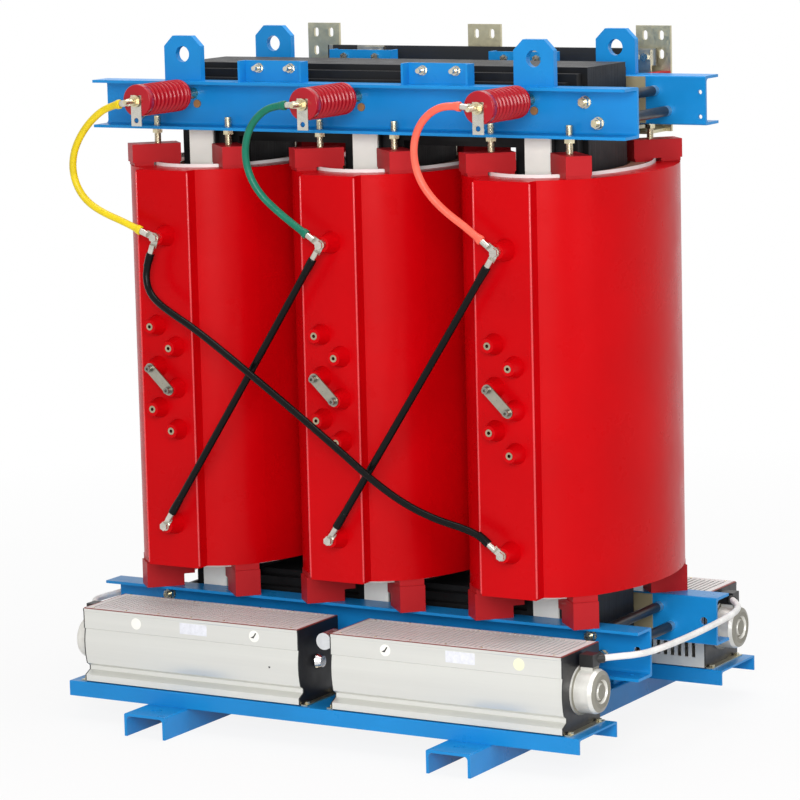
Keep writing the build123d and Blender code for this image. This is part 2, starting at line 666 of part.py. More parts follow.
def star_bolts():
    """Bolts and nuts of the star bar."""
    pieces = []
    for x, z in star_spots():
        bolt = turned((x, NEUTRAL_Y, z), (0, -1, 0), hexagon(19.0, 8.0))
        pieces.append(bolt + turned((x, NEUTRAL_Y, z), (0, 1, 0), drum(STUD_R, 2 * BAR_T + 14.0)))
        pieces.append(turned((x, NEUTRAL_Y + 2 * BAR_T, z), (0, 1, 0), nut(19.0, STUD_R + SLIP, 10.0)))
    return pieces


def lv_supports():
    """Resin stand-offs from the back clamp to the terminal bars, parted where a star arm passes through."""
    right = LV_BAR_X[1]
    pieces = []
    for x in LIMBS:
        stops = [WEB_IN + CLAMP_D, NEUTRAL_Y, NEUTRAL_Y + BAR_T, LV_BAR_Y]
        if x == LIMBS[-1]:
            stops = [stops[0], stops[-1]]
        for near, far in zip(stops[::2], stops[1::2]):
            pieces.append(slab(x + right - 27.0, x + right, near, far, CLAMP_TOP - 32.0, CLAMP_TOP))
    return pieces


# ---------------------------------------------------------------- fans
def fan_outline():
    """Outside of a fan housing looking along X, depth towards the front as local X."""
    front, back = FAN_FRONT - AXLE_Y, FAN_BACK - AXLE_Y
    low, high = SHELF_Z + FAN_END_T - AXLE_Z, FAN_TOP - AXLE_Z
    path = Polyline((back, low), (front, low), (front, low + 16.0), (front - 8.0, low + 20.0),
                    (front - 20.0, low + 26.0), (front - 20.0, low + 36.0), (front - 8.0, low + 44.0))
    bulge = ThreePointArc(path @ 1, (front - 1.0, low + 84.0), (front - 5.0, high - 52.0))
    rest = Polyline(bulge @ 1, (front - 1.0, high - 50.0), (front - 1.0, high - 8.0), (front, high - 6.0),
                    (front, high), (back, high), (back, low))
    return make_face(Curve() + [path, bulge, rest])


def fan_plane(x):
    """Plane square to the fan axle, local X towards the front."""
    return Plane(origin=(x, -AXLE_Y, AXLE_Z), x_dir=(0, -1, 0), z_dir=(-1, 0, 0))


def fan_housing():
    """Folded housing of the front right fan: closed front, open top, slotted intake at the back."""
    outline = fan_outline()
    skin = outline - offset(outline, -FAN_SKIN)
    x0, x1 = FAN_X0 + FAN_END_T, FAN_X1 - FAN_END_T
    body = fan_plane(x1) * extrude(skin, x1 - x0)
    body -= slab(x0 + 12.0, x1 - 12.0, -FAN_FRONT + 12.0, -FAN_BACK - 12.0, FAN_TOP - FAN_SKIN - 1.0, FAN_TOP + 1.0)
    pitch = (x1 - x0 - 40.0) / 30
    for i in range(30):
        x = x0 + 20.0 + (i + 0.25) * pitch
        for z in (SHELF_Z + 28.0, SHELF_Z + 100.0):
            body -= slab(x, x + pitch / 2, -FAN_BACK - FAN_SKIN - 1.0, -FAN_BACK + 1.0, z, z + 60.0)
    return body


def fan_end(x, outward):
    """Black end plate with a bottom lip bent away from the fan."""
    face = fan_plane(max(x, x + outward * FAN_END_T)) * extrude(fan_outline(), FAN_END_T)
    edge = x + outward * FAN_END_T
    lip = slab(min(x, edge + outward * FAN_LIP_W), max(x, edge + outward * FAN_LIP_W),
               -FAN_FRONT + 6.0, -FAN_BACK - 6.0, SHELF_Z, SHELF_Z + FAN_END_T)
    body = Part() + [face, lip]
    body -= turned((x - 20.0, -AXLE_Y, AXLE_Z), (1, 0, 0), drum(SHAFT_R + SLIP, 40.0))
    return body - [Pos(sx, sy, SHELF_Z - 1.0) * drum(4.0 + SLIP, FAN_END_T + 2.0) for sx, sy in fan_screw_spots()]


def fan_ends():
    """Both end plates of the front right fan."""
    return [fan_end(FAN_X0 + FAN_END_T, -1), fan_end(FAN_X1 - FAN_END_T, 1)]


def fan_screw_spots():
    """Screws through the end plate lips, as (x, y), for both front fans."""
    spots = []
    for x in (FAN_X0 - FAN_LIP_W / 2, FAN_X1 + FAN_LIP_W / 2):
        for y in (-FAN_FRONT + 22.0, -FAN_BACK - 22.0):
            spots += [(x, y), (-x, y)]
    return spots


def fan_screws():
    """Hexagon screws holding the four fans on their shelves."""
    pieces = []
    top = SHELF_Z + FAN_END_T
    for x, y in fan_screw_spots():
        screw = Pos(x, y, top) * hexagon(13.0, 5.5) + Pos(x, y, top - 22.0) * drum(4.0, 22.0)
        pieces += front_back(screw)
    return pieces


def fan_hubs():
    """Bearing cups on the inner end plates."""
    cup = cone(20.0, 14.0, 13.0) - drum(SHAFT_R + SLIP, 11.0)
    return four_ways(turned((FAN_X0, -AXLE_Y, AXLE_Z), (-1, 0, 0), cup))


def fan_grille():
    """Slotted outlet grille on top of the front right fan."""
    x0, x1 = FAN_X0 + 6.0, FAN_X1 - 6.0
    body = slab(x0, x1, -FAN_FRONT + 5.0, -FAN_BACK - 5.0, FAN_TOP, FAN_TOP + 2.5)
    count = 44
    pitch = (x1 - x0 - 24.0) / count
    for i in range(count):
        x = x0 + 12.0 + (i + 0.3) * pitch
        body -= slab(x, x + 0.4 * pitch, -FAN_FRONT + 16.0, -FAN_BACK - 16.0, FAN_TOP - 1.0, FAN_TOP + 4.0)
    return body


def impeller():
    """Cross-flow rotor of the front right fan: curved blades between discs on one shaft."""
    length = FAN_X1 - FAN_X0 - 2 * FAN_END_T - 24.0
    start = FAN_X0 + FAN_END_T + 12.0
    blade = ThreePointArc((ROTOR_R - 14.0, 0), (ROTOR_R - 7.0, 4.5), (ROTOR_R - 1.0, 13.0))
    strip = trace(blade, 1.2)
    blades = [extrude(Rot(0, 0, i * 360 / BLADES) * strip, length) for i in range(BLADES)]
    discs = [Pos(0, 0, f * (length - 2.0)) * drum(ROTOR_R, 2.0) for f in (0, 1)]
    discs += [Pos(0, 0, f * length - 1.0) * ring(ROTOR_R, ROTOR_R - 15.0, 2.0) for f in (1 / 3, 2 / 3)]
    shaft = Pos(0, 0, -12.0 - FAN_END_T - 9.0) * drum(SHAFT_R, length + 24.0 + 2 * FAN_END_T + 9.0 + 16.0)
    return turned((start, -AXLE_Y, AXLE_Z), (1, 0, 0), Part() + blades + discs + [shaft])


def motor():
    """Round shaded-pole motor on the outer end of the front right fan."""
    points = [(0, 0), (60.0, 0), (60.0, 5.0), (MOTOR_R, 7.0), (MOTOR_R, MOTOR_L - 13.0), (MOTOR_R - 4.0, MOTOR_L - 4.0),
              (MOTOR_R - 14.0, MOTOR_L), (29.0, MOTOR_L - 1.0), (26.0, MOTOR_L - 8.0), (21.0, MOTOR_L - 8.0),
              (18.5, MOTOR_L - 2.0), (0, MOTOR_L - 1.0)]
    body = revolve(make_face(Plane.XZ * Polyline(*points, close=True)), Axis.Z)
    body = turned((FAN_X1, -AXLE_Y, AXLE_Z), (1, 0, 0), body)
    body += slab(FAN_X1 + 8.0, FAN_X1 + 40.0, -AXLE_Y - 16.0, -AXLE_Y + 16.0, AXLE_Z + 40.0, AXLE_Z + MOTOR_R + 6.0)
    return body - turned((FAN_X1, -AXLE_Y, AXLE_Z), (1, 0, 0), drum(SHAFT_R + SLIP, 18.0))


def block_middle():
    """Middle of the front right terminal block."""
    return Vector(FAN_X1 + 24.0, -AXLE_Y, AXLE_Z + MOTOR_R + 21.0)


def terminal_block():
    """Black terminal block on top of the motor, with the gland of its conduit."""
    middle = block_middle()
    box = Pos(*middle) * Box(36.0, 36.0, 30.0)
    gland = turned(middle, GLAND_AIM, drum(GLAND_R, GLAND_REACH))
    return box + gland


def capacitor():
    """Round motor capacitor clipped to the inner end of the front right fan."""
    can = turned((FAN_X0 - CAN_R - 3.0, -FAN_FRONT + 12.0, CAN_Z), (0, 1, 0), drum(CAN_R, 55.0))
    clip = slab(FAN_X0 - CAN_R, FAN_X0, -FAN_FRONT + 24.0, -FAN_FRONT + 50.0, CAN_Z - 8.0, CAN_Z + 8.0)
    return can + clip


# ---------------------------------------------------------------- cables
def run(points, radius):
    """Round cord along straight runs joined by tangent arcs."""
    knots = [Vector(*p) for p in points]
    radii = []
    for before, at, after in zip(knots, knots[1:], knots[2:]):
        into, out_of = at - before, after - at
        turn = math.radians(into.get_angle(out_of))
        radii.append(0.45 * min(into.length, out_of.length) / math.tan(turn / 2))
    line = FilletPolyline(*knots, radius=radii)
    start = Plane(origin=line @ 0, z_dir=line % 0)
    tube = sweep(start * Circle(radius), line)
    section = math.pi * radius ** 2 * line.length
    print(f"{line.length:.0f} long, volume {tube.volume / section:.4f} of its section, bends", [round(r) for r in radii])
    return tube


def heading(bolt, knot):
    """Direction in the plane of the lugs from a bolt towards the next point of its cable."""
    return Vector(knot[0] - bolt[0], 0, knot[2] - bolt[1]).normalized()


def axis_y(face):
    """Depth of a cable's centre line on a lug seated at face."""
    return face - BARREL_R + 1.5


def lug_end(bolt, face, knot):
    """Where a cable starts at the mouth of its lug."""
    return Vector(bolt[0], axis_y(face), bolt[1]) + heading(bolt, knot) * (LUG_REACH + BARREL_L)


def cable_lug(bolt, face, knot):
    """Palm under a bolt head with its barrel reaching towards the cable."""
    aim = heading(bolt, knot)
    seat = Plane(origin=(bolt[0], face, bolt[1]), x_dir=aim, z_dir=(0, -1, 0))
    palm = Circle(LUG_PALM_W / 2) + Pos(13.0, 0) * Rectangle(26.0, LUG_PALM_W - 6.0) - Circle(STUD_R + SLIP)
    start = Vector(bolt[0], axis_y(face), bolt[1]) + aim * LUG_REACH
    return seat * extrude(palm, LUG_PALM_T) + turned(start, aim, drum(BARREL_R, BARREL_L))


def boot(bolt, face, knot):
    """Shrink sleeve over the end of a coloured lead."""
    return turned(lug_end(bolt, face, knot), heading(bolt, knot), ring(BOOT_R, CABLE_R + SLIP, BOOT_L))


def post_bolt(x):
    """Stud of a post, as (x, z)."""
    return (x + POST_X, POST_Z)


def terminal(x, row):
    """Terminal of a winding, as (x, z)."""
    return (x + TERM_X, TERM_Z[row])


POST_FACE = -POST_FRONT - WASHER_T           # palm seat on a post's stud
TERM_FACE = PANEL_Y - TERM_H                 # seat of the first palm on a terminal
SECOND_FACE = TERM_FACE - LUG_PALM_T         # seat of the second palm
LEAD_HIGH = axis_y(POST_FACE)
LEAD_LOW = axis_y(SECOND_FACE)
LINK_Y = axis_y(TERM_FACE)
GLAND_AIM = Vector(0.62, 0.78, 0).normalized()

# points of the coloured leads between their lugs, measured from the limb's centre
YELLOW = [(-88, LEAD_HIGH, 1552), (-130, -449, 1528), (-170, -447, 1490), (-200, -444, 1445), (-213, -439, 1398),
          (-207, -433, 1352), (-183, -427, 1313), (-140, -420, 1285), (-78, LEAD_LOW, 1262)]
GREEN = [(-88, LEAD_HIGH, 1562), (-127, -449, 1544), (-158, -447, 1512), (-176, -444, 1470), (-180, -439, 1424),
         (-169, -433, 1380), (-144, -427, 1340), (-107, -420, 1306), (-66, LEAD_LOW, 1274)]
RED = [(-90, LEAD_HIGH, 1572), (-132, -449, 1558), (-165, -447, 1528), (-185, -444, 1487), (-189, -439, 1439),
       (-178, -433, 1392), (-150, -427, 1350), (-112, -420, 1314), (-66, LEAD_LOW, 1282)]
# points of the long link in front of the windings
CROSS = [(-497, LINK_Y, 1157), (-501, -412, 1126), (-492, -416, 1096), (-470, -421, 1072), (-424, -429, 1046),
         (-340, -437, 1006), (-195, -440, 912), (-55, -440, 816), (70, -440, 728), (160, -438, 660),
         (246, -432, 608), (326, -424, 577), (386, -414, 562), (430, LINK_Y, 546)]
# points of a conduit after its straight start in the gland, as far as half way
CONDUIT = [(776, -291, 263), (787, -245, 260), (790, -180, 257), (790, -60, 254)]


def lead_route(x, knots):
    """Coloured lead from its post out to the left and back to the winding."""
    knots = [(x + kx, y, z) for kx, y, z in knots]
    start = lug_end(post_bolt(x), POST_FACE, knots[0])
    return [start] + knots + [lug_end(terminal(x, 0), SECOND_FACE, knots[-1])]


def cross_route():
    """Long link from the top of the first winding, in front of the others, to the bottom of the third."""
    start = lug_end(terminal(LIMBS[0], 0), TERM_FACE, CROSS[0])
    return [start] + CROSS + [lug_end(terminal(LIMBS[2], 1), TERM_FACE, CROSS[-1])]


def slant_middle(x):
    """Middle of a short link, sagging slightly."""
    top, bottom = terminal(x, 0), terminal(x - PITCH, 1)
    return ((top[0] + bottom[0]) / 2, LINK_Y, (top[1] + bottom[1]) / 2 - 5.0)


def slant_route(x):
    """Nearly straight link from the top of one winding to the bottom of its left neighbour."""
    middle = slant_middle(x)
    return [lug_end(terminal(x, 0), TERM_FACE, middle), middle, lug_end(terminal(x - PITCH, 1), TERM_FACE, middle)]


def conduit_route():
    """White conduit from the front right motor past the end of the clamps to the back right motor."""
    mouth = [block_middle() + GLAND_AIM * (GLAND_REACH + out) for out in (0.0, 40.0)]
    half = [tuple(knot) for knot in mouth] + CONDUIT
    return half + [(x, -y, z) for x, y, z in reversed(half)]


def link_palms():
    """Bolt, seat and next cable point of every lug on the black links."""
    palms = [(terminal(LIMBS[0], 0), TERM_FACE, CROSS[0]), (terminal(LIMBS[2], 1), TERM_FACE, CROSS[-1])]
    for x in LIMBS[1:]:
        palms += [(terminal(x, 0), TERM_FACE, slant_middle(x)), (terminal(x - PITCH, 1), TERM_FACE, slant_middle(x))]
    return palms


def lead_palms():
    """Bolt, seat and next cable point of every lug on the coloured leads."""
    palms = []
    for x, knots in zip(LIMBS, (YELLOW, GREEN, RED)):
        first, last = [(x + kx, y, z) for kx, y, z in (knots[0], knots[-1])]
        palms += [(post_bolt(x), POST_FACE, first), (terminal(x, 0), SECOND_FACE, last)]
    return palms


def terminal_bolts():
    """Bolt and washer on every winding terminal, tightened on the lugs below."""
    pieces = []
    for x in LIMBS:
        for row, palms in ((0, 2), (1, 1)):
            spot = terminal(x, row)
            face = TERM_FACE - palms * LUG_PALM_T
            pieces.append(turned((spot[0], face, spot[1]), (0, -1, 0), ring(12.0, STUD_R + SLIP, 2.5)))
            bolt = turned((spot[0], face - 2.5, spot[1]), (0, -1, 0), hexagon(19.0, 8.0))
            bolt += turned((spot[0], face - 2.5, spot[1]), (0, 1, 0), drum(STUD_R, 2.5 + palms * LUG_PALM_T + 16.0))
            pieces.append(bolt)
    return pieces


def save(name, pieces):
    """Write one node, every separate piece as its own solid."""
    solids = [solid for piece in pieces for solid in piece.solids()]
    export_step(Compound(children=solids), f"parts/{name}.step")


os.makedirs("parts", exist_ok=True)
save("core_limbs", [limb(x) for x in LIMBS])
save("core_yokes", [yoke(YOKE_LOW), yoke(YOKE_HIGH)])
save("limb_tie_plates", tie_plates())
save("yoke_boards", yoke_boards())
save("lv_windings", [lv_winding(x) for x in LIMBS])
save("winding_barriers", barriers())
for name, x in zip("abc", LIMBS):
    save(f"hv_winding_{name}", [hv_winding(x)])
save("brass_inserts", tap_inserts() + terminal_inserts())
save("tap_links", [tap_link(x) for x in LIMBS])
save("tap_link_screws", link_screws())
save("top_clamp_front", [top_clamp()])
save("top_clamp_back", [top_clamp_back()])
save("bottom_clamps", front_back(low_clamp()))
save("clamp_tie_rods", tie_rods(TOP_RODS) + tie_rods(LOW_RODS))
save("clamp_nuts", tie_nuts())
save("rod_sleeves", rod_sleeves())
save("web_plugs", web_plugs())
save("jack_screws", jack_screws())
save("resin_blocks_top", top_blocks())
save("resin_blocks_bottom", low_blocks())
save("resin_pads_top", pads(COIL_HIGH, COIL_HIGH + PAD_HIGH))
save("resin_pads_bottom", pads(COIL_LOW - PAD_LOW, COIL_LOW))
save("lifting_lugs", [lifting_lug(s * LUG_X, y) for s in (-1, 1) for y in (-FLANGE_Y, FLANGE_Y)])
save("top_brackets", [b for x in (-BRACKET_X, BRACKET_X) for b in front_back(top_bracket(x))])
save("bracket_bolts", bracket_bolts())
save("foot_channels", [foot(-FOOT_X), foot(FOOT_X)])
save("fan_shelves", front_back(shelf()))
save("clamp_pedestals", pedestals())
save("post_insulators", [post(x) for x in LIMBS])
save("post_spacers", post_spacers())
save("post_studs", post_studs())
save("post_tags", [post_tag(x) for x in LIMBS])
save("lv_terminal_bars", [lv_bar(x) for x in LIMBS])
save("star_leads", [star_lead(x) for x in LIMBS])
save("star_bar", [star_bar()])
save("star_bolts", star_bolts())
save("lv_supports", lv_supports())
save("fan_housings", four_ways(fan_housing()))
save("fan_end_plates", [copy for end in fan_ends() for copy in four_ways(end)])
save("fan_screws", fan_screws())
save("fan_hubs", fan_hubs())
save("fan_grilles", four_ways(fan_grille()))
save("fan_motors", four_ways(motor()))
save("fan_terminal_blocks", four_ways(terminal_block()))
save("fan_capacitors", front_back(capacitor()))
for name, copy in zip(("front_right", "front_left", "back_right", "back_left"), four_ways(impeller())):
    save(f"impeller_{name}", [copy])
save("terminal_bolts", terminal_bolts())
save("cable_lugs", [cable_lug(*palm) for palm in link_palms() + lead_palms()])
save("lead_boots", [boot(*palm) for palm in lead_palms()])
save("yellow_lead", [run(lead_route(LIMBS[0], YELLOW), CABLE_R)])
save("green_lead", [run(lead_route(LIMBS[1], GREEN), CABLE_R)])
save("red_lead", [run(lead_route(LIMBS[2], RED), CABLE_R)])
save("short_links", [run(slant_route(x), CABLE_R) for x in LIMBS[1:]])
save("long_link", [run(cross_route(), CABLE_R)])
save("fan_conduits", left_right(run(conduit_route(), CONDUIT_R)))
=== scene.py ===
"""Dry type transformer: finishes, cables, ribbed posts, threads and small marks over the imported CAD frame.

Everything is in metres in the frame's own axes: +Z up, -Y towards the taps, +X towards the third winding.
"""
import json
import math

import bpy
import numpy as np
from bpy.props import FloatProperty, FloatVectorProperty, IntProperty, PointerProperty
from mathutils import Matrix, Vector


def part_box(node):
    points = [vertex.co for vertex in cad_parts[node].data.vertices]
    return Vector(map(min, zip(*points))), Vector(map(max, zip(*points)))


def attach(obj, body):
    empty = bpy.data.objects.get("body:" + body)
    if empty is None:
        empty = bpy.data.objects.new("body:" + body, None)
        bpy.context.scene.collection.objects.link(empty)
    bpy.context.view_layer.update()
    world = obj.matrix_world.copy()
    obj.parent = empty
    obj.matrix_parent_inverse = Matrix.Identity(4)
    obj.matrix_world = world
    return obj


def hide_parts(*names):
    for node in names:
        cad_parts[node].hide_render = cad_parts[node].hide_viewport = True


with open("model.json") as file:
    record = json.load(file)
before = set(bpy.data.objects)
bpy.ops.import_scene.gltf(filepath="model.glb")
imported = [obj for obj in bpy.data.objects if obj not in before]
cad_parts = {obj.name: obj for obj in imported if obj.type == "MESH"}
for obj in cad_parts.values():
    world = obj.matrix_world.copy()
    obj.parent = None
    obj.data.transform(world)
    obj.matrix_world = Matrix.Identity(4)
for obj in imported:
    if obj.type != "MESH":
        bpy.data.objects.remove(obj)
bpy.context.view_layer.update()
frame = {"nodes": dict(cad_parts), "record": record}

bl_info = {
    "name": "Dry type transformer",
    "version": (1, 0, 0),
    "blender": (4, 5, 0),
    "location": "3D View > Sidebar > Transformer",
    "description": "Finishes, cables, posts, threads and marks of a cast-resin transformer",
    "category": "Object",
}

BODY = "frame"
SMALL = 0.0003        # lift that keeps one skin clear of another
PANEL_FACE = -0.361   # face of the tap panels
PANEL_EDGE = 0.0755   # middle of a tap panel to its rounded edges
POST_RADIUS = 0.040
ONE = (1, 1, 1)       # the same in every direction, or no tint


def middle(node):
    """Centre of a CAD node's box."""
    low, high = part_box(node)
    return (Vector(low) + Vector(high)) / 2


LIMBS = [middle(f"hv_winding_{letter}").x for letter in "abc"]


# ---------------------------------------------------------------- settings
class PaintSettings(bpy.types.PropertyGroup):
    """Main colours, as linear values."""

    winding: FloatVectorProperty(name="Winding red", description="Cast resin of the high-voltage windings",
                                 subtype="COLOR", default=(0.52, 0.0004, 0.0028), min=0, max=1)
    block: FloatVectorProperty(name="Block red", description="Cast resin blocks between windings and clamps",
                               subtype="COLOR", default=(0.44, 0.016, 0.020), min=0, max=1)
    post: FloatVectorProperty(name="Post red", description="Ribbed post insulators",
                              subtype="COLOR", default=(0.36, 0.004, 0.012), min=0, max=1)
    clamp: FloatVectorProperty(name="Clamp blue", description="Paint of clamps, feet and shelves",
                               subtype="COLOR", default=(0.009, 0.235, 0.590), min=0, max=1)
    silver: FloatVectorProperty(name="Fan silver", description="Anodised fan housings",
                                subtype="COLOR", default=(0.71, 0.71, 0.67), min=0, max=1)
    trim: FloatVectorProperty(name="Fan trim", description="Red-brown edge strips of the fan grilles",
                              subtype="COLOR", default=(0.25, 0.045, 0.035), min=0, max=1)


class CableSettings(bpy.types.PropertyGroup):
    """Cables between the terminals."""

    diameter: FloatProperty(name="Cable diameter", description="Over the sheath of a cable",
                            subtype="DISTANCE", default=0.018, min=0.004, max=0.05)
    conduit: FloatProperty(name="Conduit diameter", description="Over the sleeve of a fan's wires",
                           subtype="DISTANCE", default=0.016, min=0.004, max=0.05)
    boot_length: FloatProperty(name="Boot length", description="Sleeve over each end of a coloured lead",
                               subtype="DISTANCE", default=0.019, min=0.005, max=0.05)
    boot_radius: FloatProperty(name="Boot radius", description="Thick end of a sleeve, at the lug",
                               subtype="DISTANCE", default=0.0115, min=0.005, max=0.03)


class PostSettings(bpy.types.PropertyGroup):
    """Ribbed post insulators."""

    ribs: IntProperty(name="Ribs", description="Thin fins between the two end discs",
                      default=9, min=3, max=16)
    cap: FloatProperty(name="Front disc", description="Thickness of the front disc",
                       subtype="DISTANCE", default=0.020, min=0.005, max=0.05)
    heel: FloatProperty(name="Rear disc", description="Thickness of the rear disc",
                        subtype="DISTANCE", default=0.010, min=0.003, max=0.05)
    bead: FloatProperty(name="Panel edge", description="Radius of the rounded edges of the tap panels",
                        subtype="DISTANCE", default=0.0024, min=0.001, max=0.01)
    groove: FloatProperty(name="Groove depth", description="Depth between two fins",
                          subtype="DISTANCE", default=0.0130, min=0.002, max=0.02)


class ThreadSettings(bpy.types.PropertyGroup):
    """Screw threads."""

    pitch: FloatProperty(name="Thread pitch", description="Advance of one turn",
                         subtype="DISTANCE", default=0.0025, min=0.0005, max=0.005)
    depth: FloatProperty(name="Thread height", description="Height of the crest over the plain rod",
                         subtype="DISTANCE", default=0.0004, min=0.0001, max=0.002)


class StageSettings(bpy.types.PropertyGroup):
    """Camera and lamps."""

    azimuth: FloatProperty(name="Azimuth", description="Camera's turn from the front towards +X",
                           subtype="ANGLE", default=math.radians(30.5))
    elevation: FloatProperty(name="Elevation", description="Camera's height angle",
                             subtype="ANGLE", default=math.radians(8.909))
    roll: FloatProperty(name="Roll", description="Camera's tilt about its own axis",
                        subtype="ANGLE", default=-0.02422)
    place: FloatVectorProperty(name="Camera place", description="Where the camera stands",
                               subtype="TRANSLATION", default=(4.6938, -8.0049, 2.2419))
    lens: FloatProperty(name="Focal length", description="Focal length in mm on a 36 mm sensor",
                        default=167.70, min=10, max=500)
    key: FloatProperty(name="Key lamp", description="Power of the key lamp in watts", default=330.0, min=0)
    fill: FloatProperty(name="Fill lamp", description="Power of the fill lamp in watts", default=40.0, min=0)
    sky: FloatProperty(name="Sky", description="Grey level of the light from all round",
                       default=0.38, min=0, max=2)


# ---------------------------------------------------------------- surfaces
def grid_faces(rows, columns, closed):
    """Quads of a grid whose point (i, j) is number i times columns plus j.

    A closed grid joins its last column to its first.
    """
    i = np.arange(rows - 1)[:, None]
    j = np.arange(columns if closed else columns - 1)[None, :]
    k = (j + 1) % columns
    quads = np.stack(np.broadcast_arrays(i * columns + j, i * columns + k, (i + 1) * columns + k,
                                         (i + 1) * columns + j), axis=-1)
    return quads.reshape(-1, 4)


def axes_for(axis):
    """Two unit vectors u and v square to the axis w, with u cross v equal to w."""
    w = np.asarray(axis, float) / np.linalg.norm(axis)
    helper = np.array([0.0, 0.0, 1.0]) if abs(w[2]) < 0.9 else np.array([1.0, 0.0, 0.0])
    u = np.cross(helper, w)
    u /= np.linalg.norm(u)
    return u, np.cross(w, u), w


def capped(rings, foot, head):
    """Closed shell of rings of points: row i is one ring, and a fan of triangles closes each end."""
    rows, columns = rings.shape[:2]
    points = np.concatenate([rings.reshape(-1, 3), [foot], [head]])
    around = np.arange(columns)
    onward = (around + 1) % columns
    last = (rows - 1) * columns
    low = np.stack([np.full(columns, rows * columns), onward, around], axis=-1)
    high = np.stack([np.full(columns, rows * columns + 1), last + around, last + onward], axis=-1)
    return points, grid_faces(rows, columns, True), np.concatenate([low, high])


def lathe(radii, heights, centre, axis, around=48):
    """Surface of revolution: for each (r, h) of the profile, the point at turn t is
    centre + r cos t u + r sin t v + h w.
    """
    u, v, w = axes_for(axis)
    turn = np.linspace(0, 2 * math.pi, around, endpoint=False)
    spoke = np.cos(turn)[:, None] * u + np.sin(turn)[:, None] * v
    centre = np.asarray(centre, float)
    rings = centre + np.asarray(radii)[:, None, None] * spoke + np.asarray(heights)[:, None, None] * w
    return capped(rings, centre + heights[0] * w, centre + heights[-1] * w)


def thread(centre, axis, radius, length, settings, around=24):
    """Screw thread: at turn t and height h the radius is the rod's, plus the crest height times
    a rounded wave of h / pitch - t / 2 pi. The crests fade to nothing at both ends.
    """
    u, v, w = axes_for(axis)
    rows = max(8, int(length / settings.pitch * 6))
    turn = np.linspace(0, 2 * math.pi, around, endpoint=False)[None, :]
    height = np.linspace(0, length, rows)[:, None]
    wave = 0.5 + 0.5 * np.cos(2 * math.pi * height / settings.pitch - turn)
    fade = np.clip(np.minimum(height, length - height) / settings.pitch, 0, 1)
    r = radius + SMALL / 5 + settings.depth * wave * fade
    rings = (np.asarray(centre, float) + (r * np.cos(turn))[..., None] * u + (r * np.sin(turn))[..., None] * v
             + height[..., None] * w)
    return capped(rings, np.asarray(centre, float), np.asarray(centre, float) + length * w)


def bar(low, high):
    """Closed box: its eight corners are the two corner points mixed in x, y and z."""
    low, high = np.asarray(low, float), np.asarray(high, float)
    pick = np.array([[i & 1, i >> 1 & 1, i >> 2 & 1] for i in range(8)])
    points = low + pick * (high - low)
    quads = np.array([[0, 2, 3, 1], [4, 5, 7, 6], [0, 1, 5, 4], [2, 6, 7, 3], [0, 4, 6, 2], [1, 3, 7, 5]])
    return points, quads, np.zeros((0, 3), int)


def plate(outline, y, thick):
    """Flat plate facing -Y: its outline of (x, z) points at depths y and y - thick, closed by fans."""
    outline = np.asarray(outline, float)
    rings = np.stack([np.column_stack([outline[:, 0], np.full(len(outline), depth), outline[:, 1]])
                      for depth in (y, y - thick)])
    return capped(rings, rings[0].mean(axis=0), rings[1].mean(axis=0))


def put(name, shapes, material, body=BODY, smooth=True):
    """One object from several closed shapes, riding on a body and wearing one material."""
    points, faces, start = [], [], 0
    for place, quads, triangles in shapes:
        points.append(place)
        faces += (quads + start).tolist() + (triangles + start).tolist()
        start += len(place)
    mesh = bpy.data.meshes.new(name)
    mesh.from_pydata(np.concatenate(points), [], faces)
    mesh.polygons.foreach_set("use_smooth", np.full(len(mesh.polygons), smooth))
    mesh.update()
    return settle(bpy.data.objects.new(name, mesh), material, body)


def settle(obj, material, body=BODY):
    """Link a piece, dress it, and let it ride."""
    if obj.name not in bpy.context.scene.collection.objects:
        bpy.context.scene.collection.objects.link(obj)
    obj.data.materials.clear()
    obj.data.materials.append(material)
    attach(obj, body)
    return obj


def soften(obj, width, segments=2):
    """Rounded edges on a sharp piece."""
    modifier = obj.modifiers.new("rounded edges", "BEVEL")
    modifier.width = width
    modifier.segments = segments
    modifier.limit_method = "ANGLE"


# ---------------------------------------------------------------- material tools
def wire(tree, socket, value):
    """Link a node's output to a socket, or set a plain value on it."""
    if isinstance(value, bpy.types.NodeSocket):
        tree.links.new(value, socket)
    else:
        socket.default_value = value


def add(tree, kind, inputs=None, **options):
    """A node with its options and inputs set."""
    node = tree.nodes.new(kind)
    for key, value in options.items():
        setattr(node, key, value)
    for key, value in (inputs or {}).items():
        wire(tree, node.inputs[key], value)
    return node


def new_finish(name, colour, rough, metal=0.0, **sockets):
    """Material with one shader, its constants set on the shader's own sockets."""
    material = bpy.data.materials.new(name)
    material.use_nodes = True
    tree = material.node_tree
    shader = tree.nodes["Principled BSDF"]
    values = {"Base Color": (*colour, 1), "Roughness": rough, "Metallic": metal, **sockets}
    for key, value in values.items():
        shader.inputs[key].default_value = value
    material.diffuse_color = (*colour, 1)
    return material, tree, shader


def place(tree, stretch=ONE):
    """Object coordinates, stretched."""
    source = add(tree, "ShaderNodeTexCoord").outputs["Object"]
    return add(tree, "ShaderNodeMapping", {"Vector": source, "Scale": stretch}).outputs["Vector"]


def cloud(tree, scale, stretch=ONE, detail=4.0, roughness=0.55):
    """Cloudy noise in the piece's own space, features 1 / scale metres across."""
    return add(tree, "ShaderNodeTexNoise", {"Vector": place(tree, stretch), "Scale": scale, "Detail": detail,
                                            "Roughness": roughness}).outputs["Fac"]


def ramp(tree, value, stops):
    """Colour ramp with (position, colour) stops."""
    node = add(tree, "ShaderNodeValToRGB", {"Fac": value})
    while len(node.color_ramp.elements) < len(stops):
        node.color_ramp.elements.new(0.5)
    for element, (position, colour) in zip(node.color_ramp.elements, stops):
        element.position = position
        element.color = (*colour, 1)
    return node.outputs["Color"]


